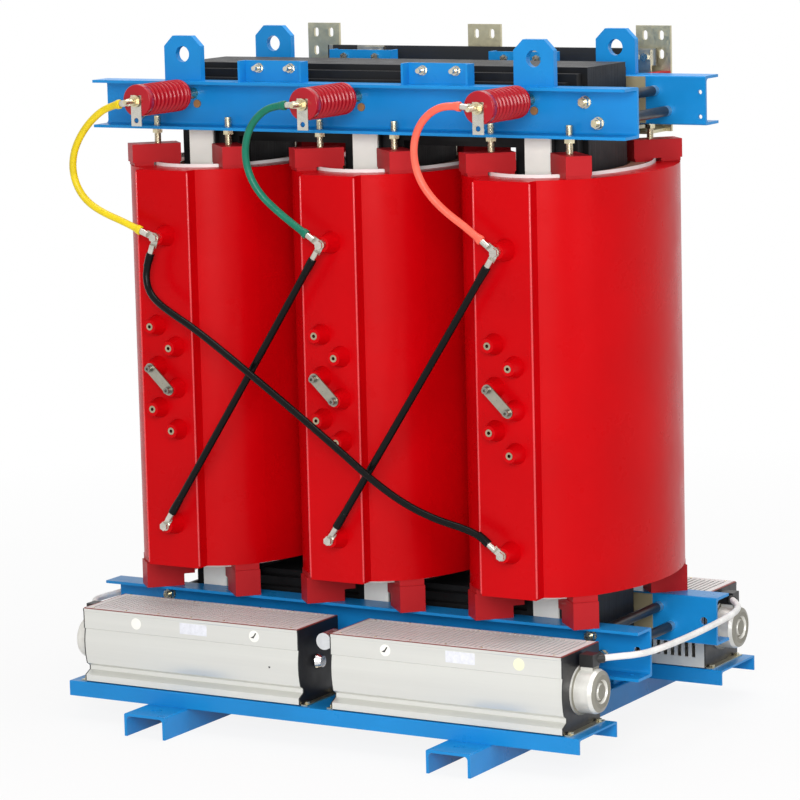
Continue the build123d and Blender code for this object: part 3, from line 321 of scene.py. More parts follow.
def shade(colour, factor):
    """Colour made lighter or darker, kept within 0 and 1."""
    return tuple(min(1.0, channel * factor) for channel in colour)


def patchy(tree, shader, colour, spread, scale, stretch=ONE, tint=ONE):
    """Base colour that drifts between a darker and a lighter shade in soft patches."""
    light = tuple(min(1.0, c * (1 + spread) * t) for c, t in zip(colour, tint))
    stops = [(0.30, shade(colour, 1 - spread)), (0.52, colour), (0.74, light)]
    wire(tree, shader.inputs["Base Color"], ramp(tree, cloud(tree, scale, stretch), stops))


def uneven_gloss(tree, shader, low, high, scale, stretch=ONE):
    """Roughness that wanders between two values."""
    spread = {"Value": cloud(tree, scale, stretch), "From Min": 0.3, "From Max": 0.7,
              "To Min": low, "To Max": high}
    wire(tree, shader.inputs["Roughness"], add(tree, "ShaderNodeMapRange", spread).outputs["Result"])


def relief(tree, shader, layers):
    """Bumps from several noises, each (scale, depth in metres, stretch)."""
    normal = None
    for scale, depth, stretch in layers:
        height = cloud(tree, scale, stretch, detail=2.0)
        bump = add(tree, "ShaderNodeBump", {"Height": height, "Distance": depth, "Strength": 1.0})
        if normal:
            wire(tree, bump.inputs["Normal"], normal)
        normal = bump.outputs["Normal"]
    wire(tree, shader.inputs["Normal"], normal)


def finish(name, colour, rough, metal=0.0, spread=0.08, patch=6.0, gloss=0.05,
           layers=((320.0, 0.00004, ONE),), stretch=ONE, tint=ONE, **sockets):
    """Painted, cast or plated surface: drifting colour, wandering gloss and fine relief."""
    material, tree, shader = new_finish(name, colour, rough, metal, **sockets)
    patchy(tree, shader, colour, spread, patch, stretch, tint)
    uneven_gloss(tree, shader, max(0.03, rough - gloss), rough + gloss, patch * 3, stretch)
    relief(tree, shader, layers)
    return material


# ---------------------------------------------------------------- finishes of this transformer
def cast_resin(name, colour, rough, waviness=0.0009, **sockets):
    """Moulded epoxy: slow waves of the mould, fine pitting, and a hard glossy skin."""
    layers = ((9.0, waviness, ONE), (170.0, 0.00004, ONE))
    return finish(name, colour, rough, spread=0.07, patch=3.5, layers=layers, tint=(1.0, 1.15, 1.1),
                  **{"Specular IOR Level": 0.09, **sockets})


def gloss_paint(name, colour):
    """Sprayed enamel on rolled steel: orange peel, faint rolling waves, scattered dust."""
    layers = ((14.0, 0.0008, ONE), (240.0, 0.00007, ONE))
    return finish(name, colour, 0.32, spread=0.08, patch=5.0, gloss=0.06, layers=layers,
                  **{"Specular IOR Level": 0.22, "Coat Weight": 0.06, "Coat Roughness": 0.15})


def plated(name, colour, rough=0.30, spread=0.22, tint=ONE):
    """Zinc or tin plate: cloudy colour, small rolling marks, soft metallic shine."""
    return finish(name, colour, rough, 1.0, spread=spread, patch=60.0, gloss=0.10,
                  layers=((500.0, 0.00003, ONE), (90.0, 0.0001, ONE)), tint=tint)


def facing_ends(tree):
    """1 on faces that look along X, 0 elsewhere."""
    facing = add(tree, "ShaderNodeTexCoord").outputs["Normal"]
    along = add(tree, "ShaderNodeSeparateXYZ", {"Vector": facing}).outputs["X"]
    size = add(tree, "ShaderNodeMath", {0: along}, operation="ABSOLUTE").outputs[0]
    step = {"Value": size, "From Min": 0.75, "From Max": 0.95}
    return add(tree, "ShaderNodeMapRange", step).outputs["Result"]


def farther(tree, axis, limit):
    """1 where the piece's own distance from the middle along an axis is over the limit, 0 elsewhere."""
    along = add(tree, "ShaderNodeSeparateXYZ", {"Vector": place(tree)}).outputs[axis]
    size = add(tree, "ShaderNodeMath", {0: along}, operation="ABSOLUTE").outputs[0]
    return add(tree, "ShaderNodeMath", {0: size, 1: limit}, operation="GREATER_THAN").outputs[0]


def near_webs(tree):
    """1 at both ends of the rod sleeves."""
    bare = 0.018
    return farther(tree, "Y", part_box("rod_sleeves")[1][1] - bare)


def beyond_plates(tree):
    """1 on the turned-out feet of the fans' end plates."""
    first_plate, last_plate = 0.0448, 0.6832
    outer = farther(tree, "X", last_plate)
    past_first = {0: 1.0, 1: farther(tree, "X", first_plate)}
    inner = add(tree, "ShaderNodeMath", past_first, operation="SUBTRACT").outputs[0]
    return add(tree, "ShaderNodeMath", {0: outer, 1: inner}, operation="MAXIMUM").outputs[0]


def two_tone(name, colour, other, mask, metal=0.0, other_metal=0.0):
    """Surface that changes from one finish to another where a mask says so."""
    material, tree, shader = new_finish(name, colour, 0.38)
    part = mask(tree)
    mixed = add(tree, "ShaderNodeMix", {"Factor": part}, data_type="RGBA")
    for socket, tone in ((6, colour), (7, other)):
        grain = [(0.30, shade(tone, 0.90)), (0.70, shade(tone, 1.10))]
        wire(tree, mixed.inputs[socket], ramp(tree, cloud(tree, 30.0), grain))
    wire(tree, shader.inputs["Base Color"], mixed.outputs[2])
    level = add(tree, "ShaderNodeMapRange", {"Value": part, "To Min": metal, "To Max": other_metal})
    wire(tree, shader.inputs["Metallic"], level.outputs["Result"])
    uneven_gloss(tree, shader, 0.30, 0.44, 40.0)
    relief(tree, shader, ((300.0, 0.00008, ONE),))
    return material


def laminations(name, colour):
    """Stack of black painted steel sheets: fine lines along the sheet edges, and lighter grey streaks that
    are painted glints on the sheet edges.
    """
    material, tree, shader = new_finish(name, colour, 0.48, **{"Specular IOR Level": 0.3})
    lines = cloud(tree, 1.0, (1.5, 420.0, 1.5), detail=2.0)
    streaks = cloud(tree, 1.0, (3.0, 260.0, 3.0), detail=5.0, roughness=0.7)
    # painted glints: both lighter stops, the one named bare too, stand for light caught on the sheet edges
    glint, bare = shade(colour, 4.0), shade(colour, 9.0)
    stops = [(0.42, shade(colour, 0.5)), (0.60, colour), (0.76, glint), (0.88, bare)]
    wire(tree, shader.inputs["Base Color"], ramp(tree, streaks, stops))
    edges = add(tree, "ShaderNodeBump", {"Height": lines, "Distance": 0.0009, "Strength": 1.0})
    wire(tree, shader.inputs["Normal"], edges.outputs["Normal"])
    uneven_gloss(tree, shader, 0.42, 0.56, 20.0)
    return material


def foil(name, colour):
    """Foil winding and its insulation: layers that run round the coil, seen as lines on its ends."""
    return finish(name, colour, 0.5, spread=0.30, patch=1.0, stretch=(160.0, 160.0, 2.0),
                  layers=((1.0, 0.0004, (300.0, 300.0, 4.0)),))


def brushed(name, colour, metal=0.5, rough=0.32):
    """Anodised extrusion: faint hair lines and slow bands along its length."""
    return finish(name, colour, rough, metal, spread=0.03, patch=1.0, stretch=(1.2, 40.0, 40.0), gloss=0.04,
                  layers=((1.0, 0.00002, (3.0, 700.0, 700.0)), (5.0, 0.0004, ONE)))


def sheath(name, colour, rough=0.34, **sockets):
    """Cable sheath: satin rubber with a fine skin, slow lumps of its cores, and dusty patches."""
    return finish(name, colour, rough, spread=0.13, patch=25.0, gloss=0.08,
                  layers=((45.0, 0.0009, ONE), (900.0, 0.00005, ONE)),
                  **{"Specular IOR Level": 0.30, **sockets})


def bare_window(name, colour, bare):
    """Black-sleeved busbar: tinned metal shows where the sleeve is cut away, between set places along X."""
    material, tree, shader = new_finish(name, colour, 0.4)
    along = add(tree, "ShaderNodeSeparateXYZ", {"Vector": place(tree)}).outputs["X"]
    low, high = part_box("star_bar")
    share = add(tree, "ShaderNodeMapRange", {"Value": along, "From Min": low[0], "From Max": high[0]})
    span = high[0] - low[0]
    cuts = [(-0.303, -0.221), (-0.392, -0.376), (0.198, 0.266), (0.500, 0.562)]
    steps = [(0.0, 0.0)]
    for start, stop in sorted(cuts):
        steps += [(max(0.0, (start - low[0]) / span), 1.0), (min(1.0, (stop - low[0]) / span), 0.0)]
    mask = add(tree, "ShaderNodeValToRGB", {"Fac": share.outputs["Result"]})
    mask.color_ramp.interpolation = "CONSTANT"
    while len(mask.color_ramp.elements) < len(steps):
        mask.color_ramp.elements.new(0.5)
    for element, (position, level) in zip(mask.color_ramp.elements, steps):
        element.position = position
        element.color = (level, level, level, 1)
    grain = ramp(tree, cloud(tree, 30.0), [(0.3, shade(bare, 0.8)), (0.7, shade(bare, 1.15))])
    mixed = add(tree, "ShaderNodeMix", {"Factor": mask.outputs["Color"]}, data_type="RGBA")
    wire(tree, mixed.inputs[6], (*colour, 1))
    wire(tree, mixed.inputs[7], grain)
    wire(tree, shader.inputs["Base Color"], mixed.outputs[2])
    wire(tree, shader.inputs["Metallic"], mask.outputs["Color"])
    relief(tree, shader, ((300.0, 0.00005, ONE),))
    return material


def board(name, colour, rough=0.55):
    """Pressed board or glass laminate: faint fibre flecks and a dry skin."""
    return finish(name, colour, rough, spread=0.05, patch=12.0, gloss=0.06,
                  layers=((400.0, 0.00006, ONE), (40.0, 0.0002, ONE)))


def make_finishes(paint):
    """Every finish of the transformer, by the record's slot name."""
    tinned = (0.46, 0.44, 0.37)
    return {
        "core_black": laminations("laminated core", (0.008, 0.008, 0.009)),
        "tie_plate_white": board("white glass laminate", (0.94, 0.93, 0.86), 0.42),
        "board_cream": board("pressboard", (0.32, 0.28, 0.17)),
        "foil_winding": foil("foil winding", (0.34, 0.15, 0.10)),
        "barrier_white": board("white barrier", (0.86, 0.86, 0.84), 0.45),
        "winding_red": cast_resin("red cast resin", tuple(paint.winding), 0.30),
        "block_red": cast_resin("red block resin", tuple(paint.block), 0.42, 0.0008),
        "post_red": cast_resin("red post resin", tuple(paint.post), 0.18, 0.0001,
                               **{"Specular IOR Level": 0.3}),
        "brass": plated("brass insert", (0.42, 0.35, 0.24), 0.30, 0.18),
        "tinned_bar": plated("tinned busbar", tinned, 0.38, 0.12),
        "zinc": plated("yellow zinc", (0.66, 0.59, 0.40), 0.28, 0.14, (1.0, 1.05, 1.2)),
        "clamp_blue": gloss_paint("blue enamel", tuple(paint.clamp)),
        "plug_brown": finish("brown plug", (0.33, 0.15, 0.05), 0.5),
        "sleeve_black": two_tone("sleeved rod", (0.014, 0.014, 0.016), (0.62, 0.62, 0.60), near_webs,
                                 0.0, 1.0),
        "bar_black": bare_window("sleeved star bar", (0.012, 0.012, 0.012), tinned),
        "fan_silver": brushed("anodised fan housing", tuple(paint.silver)),
        "fan_black": two_tone("black end plate", (0.008, 0.008, 0.010), (0.62, 0.57, 0.42), beyond_plates,
                              0.0, 1.0),
        "rotor_grey": brushed("rotor blades", (0.06, 0.06, 0.06), 0.3, 0.45),
        "motor_grey": two_tone("cast motor shell", (0.74, 0.73, 0.68), (0.20, 0.19, 0.15), facing_ends, 0.3),
        "capacitor_silver": plated("capacitor can", (0.72, 0.73, 0.75), 0.34, 0.06),
        "cable_yellow": sheath("yellow sheath", (0.74, 0.56, 0.010)),
        "cable_green": sheath("green sheath", (0.002, 0.155, 0.090)),
        "cable_red": sheath("salmon sheath", (0.93, 0.135, 0.085)),
        "cable_black": sheath("black sheath", (0.004, 0.004, 0.004), 0.20,
                              **{"Specular IOR Level": 0.12}),
        "conduit_white": sheath("white conduit", (0.84, 0.84, 0.82), 0.40),
    }


def node_finishes():
    """Finishes of single nodes that look unlike the rest of their slot."""
    bright = plated("bright tin", (0.58, 0.56, 0.50), 0.28, 0.16)
    pale_zinc = plated("pale zinc", (0.62, 0.59, 0.50), 0.26, 0.18)
    return {
        "tap_links": plated("worn tin", (0.36, 0.34, 0.28), 0.36, 0.10),
        "post_tags": bright,
        "terminal_bolts": bright,
        "tap_link_screws": plated("dark screws", (0.26, 0.25, 0.22), 0.30, 0.15),
        "bracket_bolts": pale_zinc,
        "star_bolts": pale_zinc,
        "clamp_nuts": pale_zinc,
        "cable_lugs": bright,
        "lv_terminal_bars": plated("dull tin", (0.56, 0.52, 0.36), 0.42, 0.10),
        "fan_hubs": plated("polished hub", (0.80, 0.80, 0.80), 0.16, 0.05),
        "fan_grilles": brushed("anodised grille", (0.76, 0.75, 0.73), 0.0, 0.50),
        "fan_terminal_blocks": finish("black block", (0.012, 0.012, 0.012), 0.42),
    }


def dressed(slot):
    """The finish made for a slot."""
    for material in bpy.data.materials:
        if material.get("slot") == slot:
            return material
    raise RuntimeError(f"no finish has been made for {slot}")


class TRANSFORMER_OT_finishes(bpy.types.Operator):
    """Make every finish and give each CAD node its own"""

    bl_idname = "transformer.finishes"
    bl_label = "Finishes"

    def execute(self, context):
        for slot, material in make_finishes(context.scene.transformer_paint).items():
            material["slot"] = slot
        special = node_finishes()
        for part in frame["record"]["subparts"]:
            node = frame["nodes"][part["node"]]
            material = special.get(part["node"]) or dressed(part["material_slot"])
            if not node.material_slots:
                node.data.materials.append(material)
            for held in node.material_slots:
                held.material = material
        return {"FINISHED"}


# ---------------------------------------------------------------- cables
YELLOW = [(-0.5333, -0.4495, 1.5584), (-0.5680, -0.4495, 1.5520), (-0.6100, -0.4490, 1.5280),
          (-0.6500, -0.4470, 1.4900), (-0.6800, -0.4440, 1.4450), (-0.6930, -0.4390, 1.3980),
          (-0.6870, -0.4330, 1.3520), (-0.6630, -0.4270, 1.3130), (-0.6200, -0.4200, 1.2850),
          (-0.5580, -0.4135, 1.2620), (-0.5107, -0.4135, 1.2422)]
GREEN = [(-0.0539, -0.4495, 1.5638), (-0.0880, -0.4495, 1.5620), (-0.1270, -0.4490, 1.5440),
         (-0.1580, -0.4470, 1.5120), (-0.1760, -0.4440, 1.4700), (-0.1800, -0.4390, 1.4240),
         (-0.1690, -0.4330, 1.3800), (-0.1440, -0.4270, 1.3400), (-0.1070, -0.4200, 1.3060),
         (-0.0660, -0.4135, 1.2740), (-0.0272, -0.4135, 1.2489)]
RED = [(0.4261, -0.4495, 1.5692), (0.3900, -0.4495, 1.5720), (0.3480, -0.4490, 1.5580),
       (0.3150, -0.4470, 1.5280), (0.2950, -0.4440, 1.4870), (0.2910, -0.4390, 1.4390),
       (0.3020, -0.4330, 1.3920), (0.3300, -0.4270, 1.3500), (0.3680, -0.4200, 1.3140),
       (0.4140, -0.4135, 1.2820), (0.4545, -0.4135, 1.2513)]
LONG = [(-0.4863, -0.4095, 1.1865), (-0.4970, -0.4095, 1.1570), (-0.5010, -0.4120, 1.1260),
        (-0.4920, -0.4160, 1.0960), (-0.4700, -0.4210, 1.0720), (-0.4240, -0.4290, 1.0460),
        (-0.3400, -0.4370, 1.0060), (-0.1950, -0.4400, 0.9120), (-0.0550, -0.4400, 0.8160),
        (0.0700, -0.4400, 0.7280), (0.1600, -0.4380, 0.6600), (0.2460, -0.4320, 0.6080),
        (0.3260, -0.4240, 0.5770), (0.3860, -0.4140, 0.5620), (0.4300, -0.4095, 0.5460),
        (0.4551, -0.4095, 0.5261)]
SHORT = [(-0.0149, -0.4095, 1.1908), (-0.2320, -0.4095, 0.8580), (-0.4486, -0.4095, 0.5349)]
CONDUIT = [(0.7294, -0.3568, 0.2650), (0.7543, -0.3255, 0.2650), (0.7760, -0.2910, 0.2630),
           (0.7870, -0.2450, 0.2600), (0.7900, -0.1800, 0.2570), (0.7900, -0.0600, 0.2540),
           (0.7900, 0.0600, 0.2540), (0.7900, 0.1800, 0.2570), (0.7870, 0.2450, 0.2600),
           (0.7760, 0.2910, 0.2630), (0.7543, 0.3255, 0.2650), (0.7294, 0.3568, 0.2650)]


def shifted(route, along):
    """The same route for the next limb."""
    return [(x + along, y, z) for x, y, z in route]


def mirrored(route):
    """The same route at the other end."""
    return [(-x, y, z) for x, y, z in route]


def cable(name, route, diameter, slot, node):
    """Round cable along one smooth NURBS line through its given control points."""
    curve = bpy.data.curves.new(name, "CURVE")
    curve.dimensions = "3D"
    curve.resolution_u = 12
    curve.render_resolution_u = 12
    curve.bevel_depth = diameter / 2
    curve.bevel_resolution = 6
    curve.use_fill_caps = True
    line = curve.splines.new("NURBS")
    line.points.add(len(route) - 1)
    line.points.foreach_set("co", [value for point in route for value in (*point, 1.0)])
    line.order_u = 3
    line.use_endpoint_u = True
    obj = settle(bpy.data.objects.new(name, curve), dressed(slot))
    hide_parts(node)
    return obj


def boot(start, onward, settings, length, thick):
    """Shrunk sleeve at a cable's end: a short tube whose radius eases from thick down to the cable."""
    straight, sloped, lip = 0.35, 0.6, 0.0012
    along = np.subtract(onward, start)
    along /= np.linalg.norm(along)
    share = np.linspace(0, 1, 20)
    ease = 0.5 - 0.5 * np.cos(math.pi * np.clip((share - straight) / sloped, 0, 1))
    thin = settings.diameter / 2 + SMALL
    radii = thick + (thin - thick) * ease
    radii[0] -= lip
    heights = share * length
    heights[1] = 0.0008
    return lathe(radii, heights, start, along, 32)


def sleeves(name, route, slot, size, length, thick):
    """Shrunk sleeves over both ends of one cable."""
    shapes = [boot(route[0], route[1], size, length, thick), boot(route[-1], route[-2], size, length, thick)]
    return put(name, shapes, dressed("cable_black" if slot == "sleeve_black" else slot))


class TRANSFORMER_OT_cables(bpy.types.Operator):
    """Coloured leads, black delta links and white fan conduits"""

    bl_idname = "transformer.cables"
    bl_label = "Cables"

    def execute(self, context):
        size = context.scene.transformer_cables
        long_cuff, short_cuff, cuff_radius = 0.036, 0.046, 0.0104
        for name, route, slot, length in (("yellow_lead", YELLOW, "cable_yellow", 0.501),
                                          ("green_lead", GREEN, "cable_green", 0.454),
                                          ("red_lead", RED, "cable_red", 0.476)):
            boots = sleeves(name + "_boots", route, slot, size, size.boot_length, size.boot_radius)
            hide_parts("lead_boots")
            lead = cable(name + "_sheath", route, size.diameter, slot, name)
        link = cable("long_link_sheath", LONG, size.diameter, "cable_black", "long_link")
        cuffs = sleeves("long_link_cuffs", LONG, "sleeve_black", size, long_cuff, cuff_radius)
        for side, route in (("left", SHORT), ("right", shifted(SHORT, LIMBS[2] - LIMBS[1]))):
            link = cable(f"short_link_{side}", route, size.diameter, "cable_black", "short_links")
            cuffs = sleeves(f"short_link_{side}_cuffs", route, "sleeve_black", size, short_cuff, cuff_radius)
        for side, route in (("right", CONDUIT), ("left", mirrored(CONDUIT))):
            sleeve = cable(f"fan_conduit_{side}", route, size.conduit, "conduit_white", "fan_conduits")
        return {"FINISHED"}


# ---------------------------------------------------------------- ribbed posts
def post_profile(length, radius, settings):
    """Radius against height: a flat disc at each end with a rounded rim, and between them fins
    as a sharpened cosine wave between two radii.
    """
    rim, lean, front_lean, step = 0.0025, 0.002, 0.0015, 0.0003
    share = np.linspace(0, 1, settings.ribs * 14)
    wave = 0.5 - 0.5 * np.cos(2 * math.pi * settings.ribs * share)
    fins = radius - SMALL - settings.groove + settings.groove * wave ** 1.3
    fin_heights = settings.heel + share * (length - settings.heel - settings.cap)
    turn = np.linspace(0, math.pi / 2, 5)
    rear = radius - 2 * SMALL
    low_r, low_h = rear - rim + rim * np.sin(turn), rim - rim * np.cos(turn)
    high_r, high_h = radius - rim + rim * np.cos(turn), length - rim + rim * np.sin(turn)
    front = length - settings.cap
    radii = np.concatenate([low_r, [rear, rear - lean], fins, [radius - front_lean, radius], high_r])
    heights = np.concatenate([low_h, [settings.heel - lean, settings.heel - step], fin_heights,
                              [front + step, front + lean], high_h])
    return radii, heights


class TRANSFORMER_OT_posts(bpy.types.Operator):
    """Ribbed resin posts in front of the top clamp"""

    bl_idname = "transformer.posts"
    bl_label = "Post insulators"

    def execute(self, context):
        low, high = (Vector(corner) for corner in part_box("post_insulators"))
        radius = (high.z - low.z) / 2
        radii, heights = post_profile(high.y - low.y, radius, context.scene.transformer_posts)
        across = [low.x + radius, (low.x + high.x) / 2, high.x - radius]
        shapes = [lathe(radii, heights, (x, high.y, (low.z + high.z) / 2), (0, -1, 0), 72) for x in across]
        posts = put("ribbed_posts", shapes, dressed("post_red"))
        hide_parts("post_insulators")
        return {"FINISHED"}


# ---------------------------------------------------------------- panel edges
def bead(x, radius):
    """Rounded upright edge of a tap panel: a tube along Z whose ends ease to a point as a quarter circle."""
    short = 0.004
    low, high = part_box("hv_winding_a")[0][2] + short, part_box("hv_winding_a")[1][2] - short
    turn = np.linspace(0, math.pi / 2, 6)
    radii = np.concatenate([radius * np.sin(turn[1:]), radius * np.cos(turn[:-1])])
    heights = np.concatenate([radius - radius * np.cos(turn[1:]),
                              high - low - radius + radius * np.sin(turn[:-1])])
    sunk = radius * 0.35
    return lathe(radii, heights, (x, PANEL_FACE + sunk, low), (0, 0, 1), 20)


class TRANSFORMER_OT_panel_edges(bpy.types.Operator):
    """Rounded upright edges of the three tap panels"""

    bl_idname = "transformer.panel_edges"
    bl_label = "Panel edges"

    def execute(self, context):
        radius = context.scene.transformer_posts.bead
        # The beads' lighter red is a painted highlight along the panel edges; their low roughness and high
        # specular are real gloss.
        glossy = cast_resin("rubbed resin edge", (0.66, 0.045, 0.05), 0.16, 0.0,
                            **{"Specular IOR Level": 0.5})
        for letter, x in zip("abc", LIMBS):
            beads = [bead(x - PANEL_EDGE, radius), bead(x + PANEL_EDGE, radius)]
            put(f"panel_edges_{letter}", beads, glossy)
        return {"FINISHED"}


# ---------------------------------------------------------------- threads
def jack_screws():
    """Threads of the twelve screws that press on the top blocks, as (foot, axis, radius, length)."""
    low, high = (Vector(corner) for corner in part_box("jack_screws"))
    across, depth, radius = 0.106, 0.213, 0.008
    foot, length = low.z + 0.001, high.z - low.z - 0.003
    return [((x + side_x * across, side_y * depth, foot), (0, 0, 1), radius, length)
            for x in LIMBS for side_x in (-1, 1) for side_y in (-1, 1)]


def stud_ends():
    """Free ends of the post studs, as (foot, axis, radius, length)."""
    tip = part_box("post_studs")[0][1]
    low, high = (Vector(corner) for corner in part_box("post_insulators"))
    centre = middle("post_insulators")
    free, radius, length = 0.0318, 0.0055, 0.0310
    return [((x, tip + free, centre.z), (0, -1, 0), radius, length)
            for x in (low.x + POST_RADIUS, centre.x, high.x - POST_RADIUS)]


class TRANSFORMER_OT_threads(bpy.types.Operator):
    """Screw threads over the plain CAD rods"""

    bl_idname = "transformer.threads"
    bl_label = "Threads"

    def execute(self, context):
        size = context.scene.transformer_threads
        for name, rods in (("jack_screw_threads", jack_screws()), ("post_stud_threads", stud_ends())):
            put(name, [thread(*rod, size) for rod in rods], dressed("zinc"))
        return {"FINISHED"}


# ---------------------------------------------------------------- fan trim and marks
LABEL_DROP = 0.026                        # a label's middle below the top of the housings
ROUND_LABELS = (-0.523, -0.173, 0.201)    # middles along X
MARKED_LABELS = ROUND_LABELS[1:]
YELLOW_LABEL = 0.567
BLANK_LABELS = (-0.352, 0.408)
HOLE = (-0.131, 0.186)                    # x and z


def fan_boxes():
    """Both ends of each fan's grille along X, and the side of the transformer that it is on in Y."""
    inner, outer = 0.051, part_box("fan_grilles")[1][0]
    ends = [sorted((side * inner, side * outer)) for side in (-1, 1)]
    return [(x0, x1, side) for x0, x1 in ends for side in (-1, 1)]


def edge_strips():
    """Thin strips along the outer edge and both ends of each grille."""
    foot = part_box("fan_housings")[1][2] + 0.0002
    outer = abs(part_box("fan_housings")[0][1])
    inner = outer - 0.188
    thin, thick, width, gap = 0.0016, 0.0018, 0.0038, 0.0004
    shapes = []
    for x0, x1, side in fan_boxes():
        near, far = sorted((side * (outer - 0.0002), side * (outer - 0.0002 - width)))
        shapes.append(bar((x0 - 0.004, near, foot), (x1 + 0.004, far, foot + thin)))
        near, far = sorted((side * (outer - 0.0002 - width - gap), side * inner))
        for low, high in ((x0 - 0.0055, x0 - gap), (x1 + gap, x1 + 0.0055)):
            shapes.append(bar((low, near, foot), (high, far, foot + thick)))
    return shapes


def screw_head(x, y, z, radius=0.0032, thick=0.0012):
    """Round head that lies on a level face: a flat profile with an eased rim, turned about Z."""
    radii = [radius, radius, radius * 0.85, radius * 0.5]
    return lathe(radii, [0.0, thick * 0.5, thick * 0.9, thick], (x, y, z), (0, 0, 1), 16)


def grille_screws():
    """Seven heads along both long edges of each grille."""
    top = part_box("fan_grilles")[1][2] + 0.0001
    outer = abs(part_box("fan_grilles")[0][1]) - 0.006
    inner = outer - 0.166
    inset = 0.02
    return [screw_head(x, side * y, top) for x0, x1, side in fan_boxes() for y in (outer, inner)
            for x in np.linspace(x0 + inset, x1 - inset, 7)]


def disc(x, z, y, radius, thick):
    """Round plate facing -Y."""
    turn = np.linspace(0, 2 * math.pi, 40, endpoint=False)
    return plate(np.column_stack([x + radius * np.cos(turn), z + radius * np.sin(turn)]), y, thick)


def tick(x, z, y):
    """Small bent mark: two short arms that meet at an angle."""
    points = [(-0.0075, -0.0030), (-0.0010, -0.0038), (0.0052, 0.0058), (0.0028, 0.0066), (-0.0020, -0.0008)]
    large, thick = 1.35, 0.0002
    return plate([(x + large * px, z + large * pz) for px, pz in points], y, thick)


class TRANSFORMER_OT_fan_trim(bpy.types.Operator):
    """Edge strips of the grilles, plain round labels and blank label plates"""

    bl_idname = "transformer.fan_trim"
    bl_label = "Fan trim"

    def execute(self, context):
        trim = finish("red-brown trim", tuple(context.scene.transformer_paint.trim), 0.45)
        strips = put("fan_edge_strips", edge_strips(), trim, smooth=False)
        soften(strips, 0.0004)
        put("fan_grille_screws", grille_screws(), dressed("zinc"))
        low, high = (Vector(corner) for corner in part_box("fan_housings"))
        face, z = low.y + 0.0011, high.z - LABEL_DROP
        thick, half, below, above = 0.0004, 0.040, 0.013, 0.015
        discs = [disc(x, z, face, 0.0145, thick) for x in ROUND_LABELS]
        put("fan_round_labels", discs, dressed("tie_plate_white"), smooth=False)
        pale = finish("pale yellow label", (0.86, 0.86, 0.62), 0.45)
        put("fan_yellow_label", [disc(YELLOW_LABEL, z, face, 0.0150, thick)], pale,
            smooth=False)
        put("fan_label_marks", [tick(x, z, face - thick) for x in MARKED_LABELS],
            dressed("fan_black"), smooth=False)
        # The small black disc is painted shade standing for a hole in the housing face.
        put("fan_hole", [disc(*HOLE, face, 0.0028, SMALL)], dressed("fan_black"), smooth=False)
        blank = finish("blank label", (0.78, 0.79, 0.84), 0.38, spread=0.10, patch=90.0)
        plates = [plate([(x - half, z - below), (x + half, z - below), (x + half, z + above),
                         (x - half, z + above)], face, SMALL) for x in BLANK_LABELS]
        put("fan_blank_labels", plates, blank, smooth=False)
        return {"FINISHED"}


def digit(text, x, z, y):
    """Mesh of one raised digit facing -Y, its centre at (x, y, z)."""
    curve = bpy.data.curves.new("digit", "FONT")
    curve.body = text
    curve.size = 0.024
    curve.extrude = 0.0006
    curve.align_x = "CENTER"
    curve.align_y = "CENTER"
    carrier = bpy.data.objects.new("digit", curve)
    mesh = bpy.data.meshes.new_from_object(carrier)
    mesh.transform(Matrix.Translation((x, y, z)) @ Matrix.Rotation(math.pi / 2, 4, "X"))
    bpy.data.objects.remove(carrier)
    bpy.data.curves.remove(curve)
    return mesh


class TRANSFORMER_OT_tap_digits(bpy.types.Operator):
    """Plain numbers cast beside the taps"""

    bl_idname = "transformer.tap_digits"
    bl_label = "Tap digits"

    def execute(self, context):
        top_tap, apart, above, across = 1.000, 0.052, 0.035, 0.060
        for letter, x in zip("abc", LIMBS):
            points, faces, start = [], [], 0
            for i in range(6):
                z = top_tap - apart * i + above
                mesh = digit(str(i + 1), x + (across if i % 2 else -across), z, PANEL_FACE)
                place_of = np.empty(len(mesh.vertices) * 3)
                mesh.vertices.foreach_get("co", place_of)
                points.append(place_of.reshape(-1, 3))
                faces += [[v + start for v in polygon.vertices] for polygon in mesh.polygons]
                start += len(mesh.vertices)
                bpy.data.meshes.remove(mesh)
            merged = bpy.data.meshes.new(f"tap_digits_{letter}")
            merged.from_pydata(np.concatenate(points), [], faces)
            settle(bpy.data.objects.new(merged.name, merged), dressed("winding_red"))
        return {"FINISHED"}


# ---------------------------------------------------------------- stage
def white_for_eye(tree, shader, share):
    """Mix a shader with plain white where a camera, glossy or transmission ray meets it."""
    rays = add(tree, "ShaderNodeLightPath").outputs
    seen = rays["Is Camera Ray"]
    for ray in ("Is Glossy Ray", "Is Transmission Ray"):
        seen = add(tree, "ShaderNodeMath", {0: seen, 1: rays[ray]}, operation="MAXIMUM").outputs[0]
    part = add(tree, "ShaderNodeMath", {0: seen, 1: share}, operation="MULTIPLY").outputs[0]
    kind = "ShaderNodeBackground" if shader.node.bl_idname == "ShaderNodeBackground" else "ShaderNodeEmission"
    white = add(tree, kind, {"Color": (1, 1, 1, 1), "Strength": 1.0}).outputs[0]
    return add(tree, "ShaderNodeMixShader", {0: part, 1: shader, 2: white}).outputs[0]


